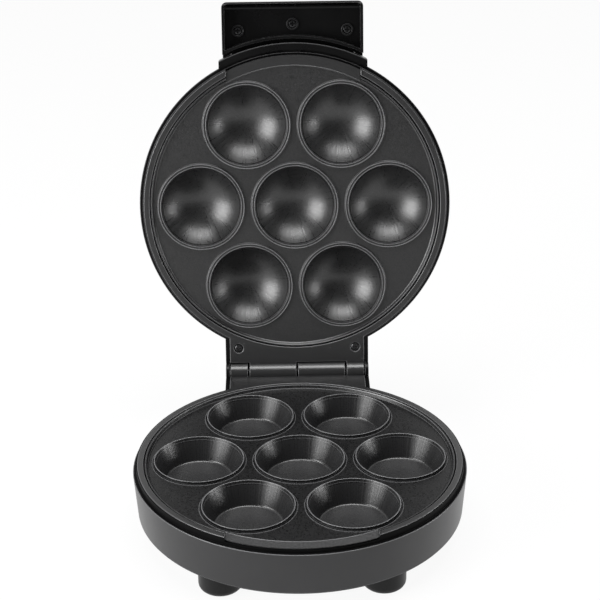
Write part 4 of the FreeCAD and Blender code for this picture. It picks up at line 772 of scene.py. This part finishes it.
# Its edge tone is a painted highlight on the rounded edges of the black mouldings.
black_gloss = finish(
    "black_gloss", grey(0.003), grey(0.004), patch=25, roughness=(0.24, 0.32), grain=0.6, bump=0.06,
    specular=0.18, edge=grey(0.035),
)
lid_lug = lug("lid")
carve(lid_lug, pin_rod("barrel_room", BARREL_ROOM, EAR_START))
ease(lid_lug, width=0.5)
ears = []
for ends in ((-LUG_SIDE, -EAR_START), (EAR_START, LUG_SIDE)):
    ears.append(pin_sleeve("ear", EAR_RADIUS, ends, bore_edge=0.1, edge=0.4))
apron = turned("apron", "lid", [
    (FRAME_ROOM, FLANGE_TOP, 0), (APRON_EDGE, FLANGE_TOP, 0.6), (APRON_EDGE, SHELF_TOP, 0.6),
    (SHELL_RADIUS, SHELF_TOP, 0), (SHELL_RADIUS, FLANGE_SEAT, 0), (FRAME_ROOM, FLANGE_SEAT, 0),
])
apron_span = slab("apron_span", "lid", (-APRON_SIDE, APRON_SIDE), (CUT_FRONT, -40), (0, 30))
carve(apron, apron_span, "INTERSECT")
shelf = slab("shelf", "lid", (-SHELF_SIDE, SHELF_SIDE), (SHELF_FRONT, SHELF_BACK), (SHELF_SEAT, SHELF_TOP))
carve(shelf, disc("shelf_room", "lid", SHELL_RADIUS + 0.7, (10, 25)))
lid_collar = join("lid_collar_moulding", [collar_ring("lid"), lid_lug, *ears, apron, shelf])
dress(swing(mark_edge_glints(lid_collar)), "lid", "black_moulding", black_gloss, "lid_collar")

# Lid cover
# Pressed aluminium dish over the lid with a rounded edge, coated like the drum. Two holes near the
# handle take the lamps' lenses.
DISH_EDGE, DISH_SHOULDER, DISH_TOP, DISH_WALL, DISH_ROUNDING = 99.0, 97.5, 32.35, 0.8, 9
LENS_SIDE, LENS_FRONT, LENS_HOLE = 11, -82, 3.55
lid_paint = finish(
    "lid_paint", grey(0.034), grey(0.04), patch=30, roughness=(0.3, 0.36), grain=0.25, bump=0.1, metal=0.3
)
lid_dish = turned("lid_dish", "lid", [
    (DISH_EDGE - DISH_WALL, FLANGE_SEAT, 0.2), (DISH_EDGE, FLANGE_SEAT, 0.2),
    (DISH_SHOULDER, DISH_TOP, DISH_ROUNDING), (0, DISH_TOP, 0), (0, DISH_TOP - DISH_WALL, 0),
    (DISH_SHOULDER - DISH_WALL, DISH_TOP - DISH_WALL, DISH_ROUNDING - DISH_WALL),
])
for x in (-LENS_SIDE, LENS_SIDE):
    carve(lid_dish, disc("lens_hole", "lid", LENS_HOLE, (25, 40), (x, LENS_FRONT), 64))
dress(swing(lid_dish), "lid", "lid_paint", lid_paint, "lid_cover")

# Handle tray
# Gloss black lower half of the handle, hollow and open below, with three bosses whose screws go
# through the collar's shelf into the cap.
HANDLE_SIDE, HANDLE_FRONT, HANDLE_ROOT = 44.5, -129.6, -74
HANDLE_CORNER, HANDLE_LEAN = 4.0, 0.2
TRAY_LID_SIDE, TRAY_WALL, TRAY_ROOF = 106.1, 1.6, 2.0
BOSSES = [(-34.6, -110.6), (0, -114.6), (34.6, -110.6)]
BOSS_BORE, BOSS_RADIUS, BOSS_END, BOSS_ROOT = 2.85, 3.8, 11.95, 13.9


def handle_block(name, inset, depth, lid_side):
    """Handle outline at an inset, its front leaning back with depth and its other end following the lid."""
    side, front = HANDLE_SIDE - inset, HANDLE_FRONT + inset
    piece = slab(name, "lid", (-side, side), (front, HANDLE_ROOT), depth)
    bpy.ops.object.mode_set(mode="EDIT")
    bpy.ops.mesh.select_all(action="DESELECT")
    bpy.ops.object.mode_set(mode="OBJECT")
    for vertex in piece.data.vertices:
        if vertex.co.y < (front + 1) * MM:
            vertex.co.y += (vertex.co.z / MM - SPLIT - FLANGE_TOP) * HANDLE_LEAN * MM
    for edge in piece.data.edges:
        ends = [piece.data.vertices[v].co for v in edge.vertices]
        edge.select = abs(ends[0].z - ends[1].z) > MM and max(e.y for e in ends) < (front + 9) * MM
    bpy.ops.object.mode_set(mode="EDIT")
    bpy.ops.mesh.bevel(offset=(HANDLE_CORNER - inset) * MM, segments=8)
    bpy.ops.object.mode_set(mode="OBJECT")
    levels = (min(depth) - 5, max(depth) + 5)
    return carve(piece, disc(name + "_lid_side", "lid", lid_side + inset, levels))


tray = handle_block("tray", 0, (FLANGE_TOP, SHELF_SEAT), TRAY_LID_SIDE)
carve(tray, handle_block("tray_hollow", TRAY_WALL, (3.0, SHELF_SEAT - TRAY_ROOF), TRAY_LID_SIDE))
ease(tray, width=0.4)
BOSS = [
    (BOSS_BORE, BOSS_END, 0.2), (BOSS_RADIUS, BOSS_END, 0.3),
    (BOSS_RADIUS, BOSS_ROOT, 0), (BOSS_BORE, BOSS_ROOT, 0),
]
bosses = [turned("tray_boss", "lid", BOSS, spot, steps=48) for spot in BOSSES]
tray_moulding = join("handle_tray_moulding", [tray, *bosses])
dress(swing(mark_edge_glints(tray_moulding)), "lid", "black_moulding", black_gloss, "handle_tray")

# Handle cap
# Gloss black moulded upper half of the handle, closed over the shelf, with its top edge rounded.
# The handle screws pull it down onto the tray.
CAP_TOP, CAP_WALL, CAP_LID_SIDE, SHELF_PLAY = 24.85, 2.2, 103.6, 0.3
MOUTH_SIDE, MOUTH_FRONT, MOUTH_TOP = SHELF_SIDE + SHELF_PLAY, -112.7, SHELF_TOP + SHELF_PLAY
HOLLOW_START = SHELF_SEAT - 1.45
cap = handle_block("cap", 0, (SHELF_SEAT, CAP_TOP), CAP_LID_SIDE)
carve(cap, handle_block("cap_hollow", CAP_WALL, (HOLLOW_START, CAP_TOP - CAP_WALL), CAP_LID_SIDE + 1.4))
mouth_depth = (HOLLOW_START, MOUTH_TOP)
carve(cap, slab("cap_mouth", "lid", (-MOUTH_SIDE, MOUTH_SIDE), (MOUTH_FRONT, HANDLE_ROOT), mouth_depth))
ease(cap, width=0.5)
dress(swing(mark_edge_glints(cap)), "lid", "black_moulding", black_gloss, "handle_cap")

# Handle screws
# Three black steel cross-recess screws in the tray's bosses, which hold the cap through the
# collar's shelf.
handle_screws = screw_set("handle_screw_set", "lid", BOSSES, top=12.8, end=21.35)
dress(swing(handle_screws), "lid", "black_screws", black_steel, "handle_screws")

# Screws seen from below
# Zinc-plated steel: four in the bottom cover's edge, which hold it to the collar's posts, and two
# sunk in the base's hinge lug, which hold the frame.
COVER_SCREWS = [(x, y) for x in (-85.5, 85.5) for y in (-31.1, 31.1)]
LUG_SCREWS = [(x, 99.0) for x in (-SCREW_SIDE, SCREW_SIDE)]
zinc = finish(
    "zinc_plate", grey(0.45), grey(0.55), patch=3, roughness=(0.3, 0.45), grain=0.2, bump=0.15, metal=1.0
)
cover_screws = screw_set("cover_screw_set", "base", COVER_SCREWS, top=33.25, end=21.65)
dress(cover_screws, "base", "plain_screws", zinc, "bottom_cover_screws")
lug_screws = screw_set("lug_screw_set", "base", LUG_SCREWS, top=15.7, end=1.65)
dress(lug_screws, "base", "plain_screws", zinc, "base_hinge_screws")

# Lamp lenses
# A red and a green lens with domed heads, moulded from tinted plastic and pressed into the lid
# cover from above.
LENS_BODY, LENS_HEAD, LENS_CROWN = 3.5, 4.6, 3.4
LENS_END, LENS_SEAT, LENS_TOP = 30.55, 32.4, 33.7
LENS = [
    (0, LENS_END, 0), (LENS_BODY, LENS_END, 0.2), (LENS_BODY, LENS_SEAT, 0), (LENS_HEAD, LENS_SEAT, 0),
    (LENS_HEAD, LENS_SEAT + 0.5, 0.3), (LENS_CROWN, LENS_TOP - 0.15, 1.2), (0, LENS_TOP, 0),
]
for colour, lamp, x, dark, light in (
    ("red", "power", -LENS_SIDE, (0.4, 0.02, 0.015), (0.5, 0.03, 0.02)),
    ("green", "ready", LENS_SIDE, (0.02, 0.3, 0.06), (0.03, 0.38, 0.08)),
):
    tint = finish(colour + "_lens", dark, light, patch=4, roughness=(0.06, 0.14), grain=0.5, bump=0.03)
    lens = turned(lamp + "_lens", "lid", LENS, (x, LENS_FRONT), steps=64)
    dress(swing(lens), "lid", colour + "_lens", tint, lamp + "_lamp_lens")

# Cord bush
# Black rubber bush in the drum's back, moulded with a rounded flange and a flared bore for the
# mains cord. It is pressed in from behind.
BUSH_BORE, BUSH_FLARE, BUSH_RADIUS, BUSH_FLANGE = 3.3, 4.2, 4.9, 6.5
BUSH_START, BUSH_LIP, BUSH_NECK, FLARE_START, BUSH_END = 93.5, 98.2, 99.3, 99.6, 100.8
bush_rubber = finish(
    "bush_rubber", grey(0.015), grey(0.022), patch=6, roughness=(0.5, 0.7), grain=0.4, bump=0.3
)
bush = lathe("cord_bush", [
    (BUSH_BORE, BUSH_START, 0.4), (BUSH_RADIUS, BUSH_START, 0.5), (BUSH_RADIUS, BUSH_NECK, 0),
    (BUSH_FLANGE, BUSH_LIP, 0.3), (BUSH_FLANGE, BUSH_END, 0.8), (BUSH_FLARE, BUSH_END, 0.3),
    (BUSH_BORE, FLARE_START, 0.6),
], (0, 0, CORD_LEVEL), "Y", 64)
dress(bush, "base", "gland_rubber", bush_rubber, "cord_gland")

# Inner pieces
# Heater tubes, clamps, reflectors, blocks, leads and the screws that hold them keep their solids
# and get their finishes here.
heater_sheath = finish(
    "heater_sheath", grey(0.12), grey(0.22), patch=8, roughness=(0.4, 0.6), grain=0.3, bump=0.3, metal=1.0
)
bright_sheet = finish(
    "bright_sheet", grey(0.6), grey(0.7), patch=20, roughness=(0.2, 0.35), grain=0.4, bump=0.15, metal=1.0
)
ceramic = finish(
    "ceramic", (0.7, 0.67, 0.6), (0.78, 0.75, 0.68), patch=6, roughness=(0.5, 0.7), grain=0.5, bump=0.3
)
phenolic = finish(
    "phenolic", (0.035, 0.025, 0.02), (0.05, 0.04, 0.03), patch=5, roughness=(0.35, 0.5), grain=0.4, bump=0.2
)
sleeve = finish("sleeve", grey(0.65), grey(0.75), patch=2, roughness=(0.7, 0.9), grain=0.4, bump=0.6)
silicone = finish(
    "silicone", (0.6, 0.58, 0.5), (0.7, 0.68, 0.6), patch=8, roughness=(0.45, 0.6), grain=0.5, bump=0.2
)
pale_plastic = finish(
    "pale_plastic", grey(0.5), grey(0.58), patch=10, roughness=(0.4, 0.5), grain=0.5, bump=0.2
)
clear_glass = finish(
    "lamp_glass", grey(0.8), grey(0.9), patch=4, roughness=(0.05, 0.12), grain=0.5, bump=0.02
)
FINISHES = {
    "heating_element": heater_sheath, "element_clamp": zinc, "heat_reflector": bright_sheet,
    "screw": zinc, "terminal_block": ceramic, "thermostat_lead": silicone, "fuse_lead": silicone,
    "lamp_lead": silicone, "thermostat": phenolic, "thermal_fuse": sleeve,
    "lamp_bracket": pale_plastic, "indicator_lamps": clear_glass,
}
for name, node in frame["nodes"].items():
    fitting = [material for words, material in FINISHES.items() if words in name]
    if fitting:
        for material_slot in node.material_slots:
            material_slot.material = fitting[0]
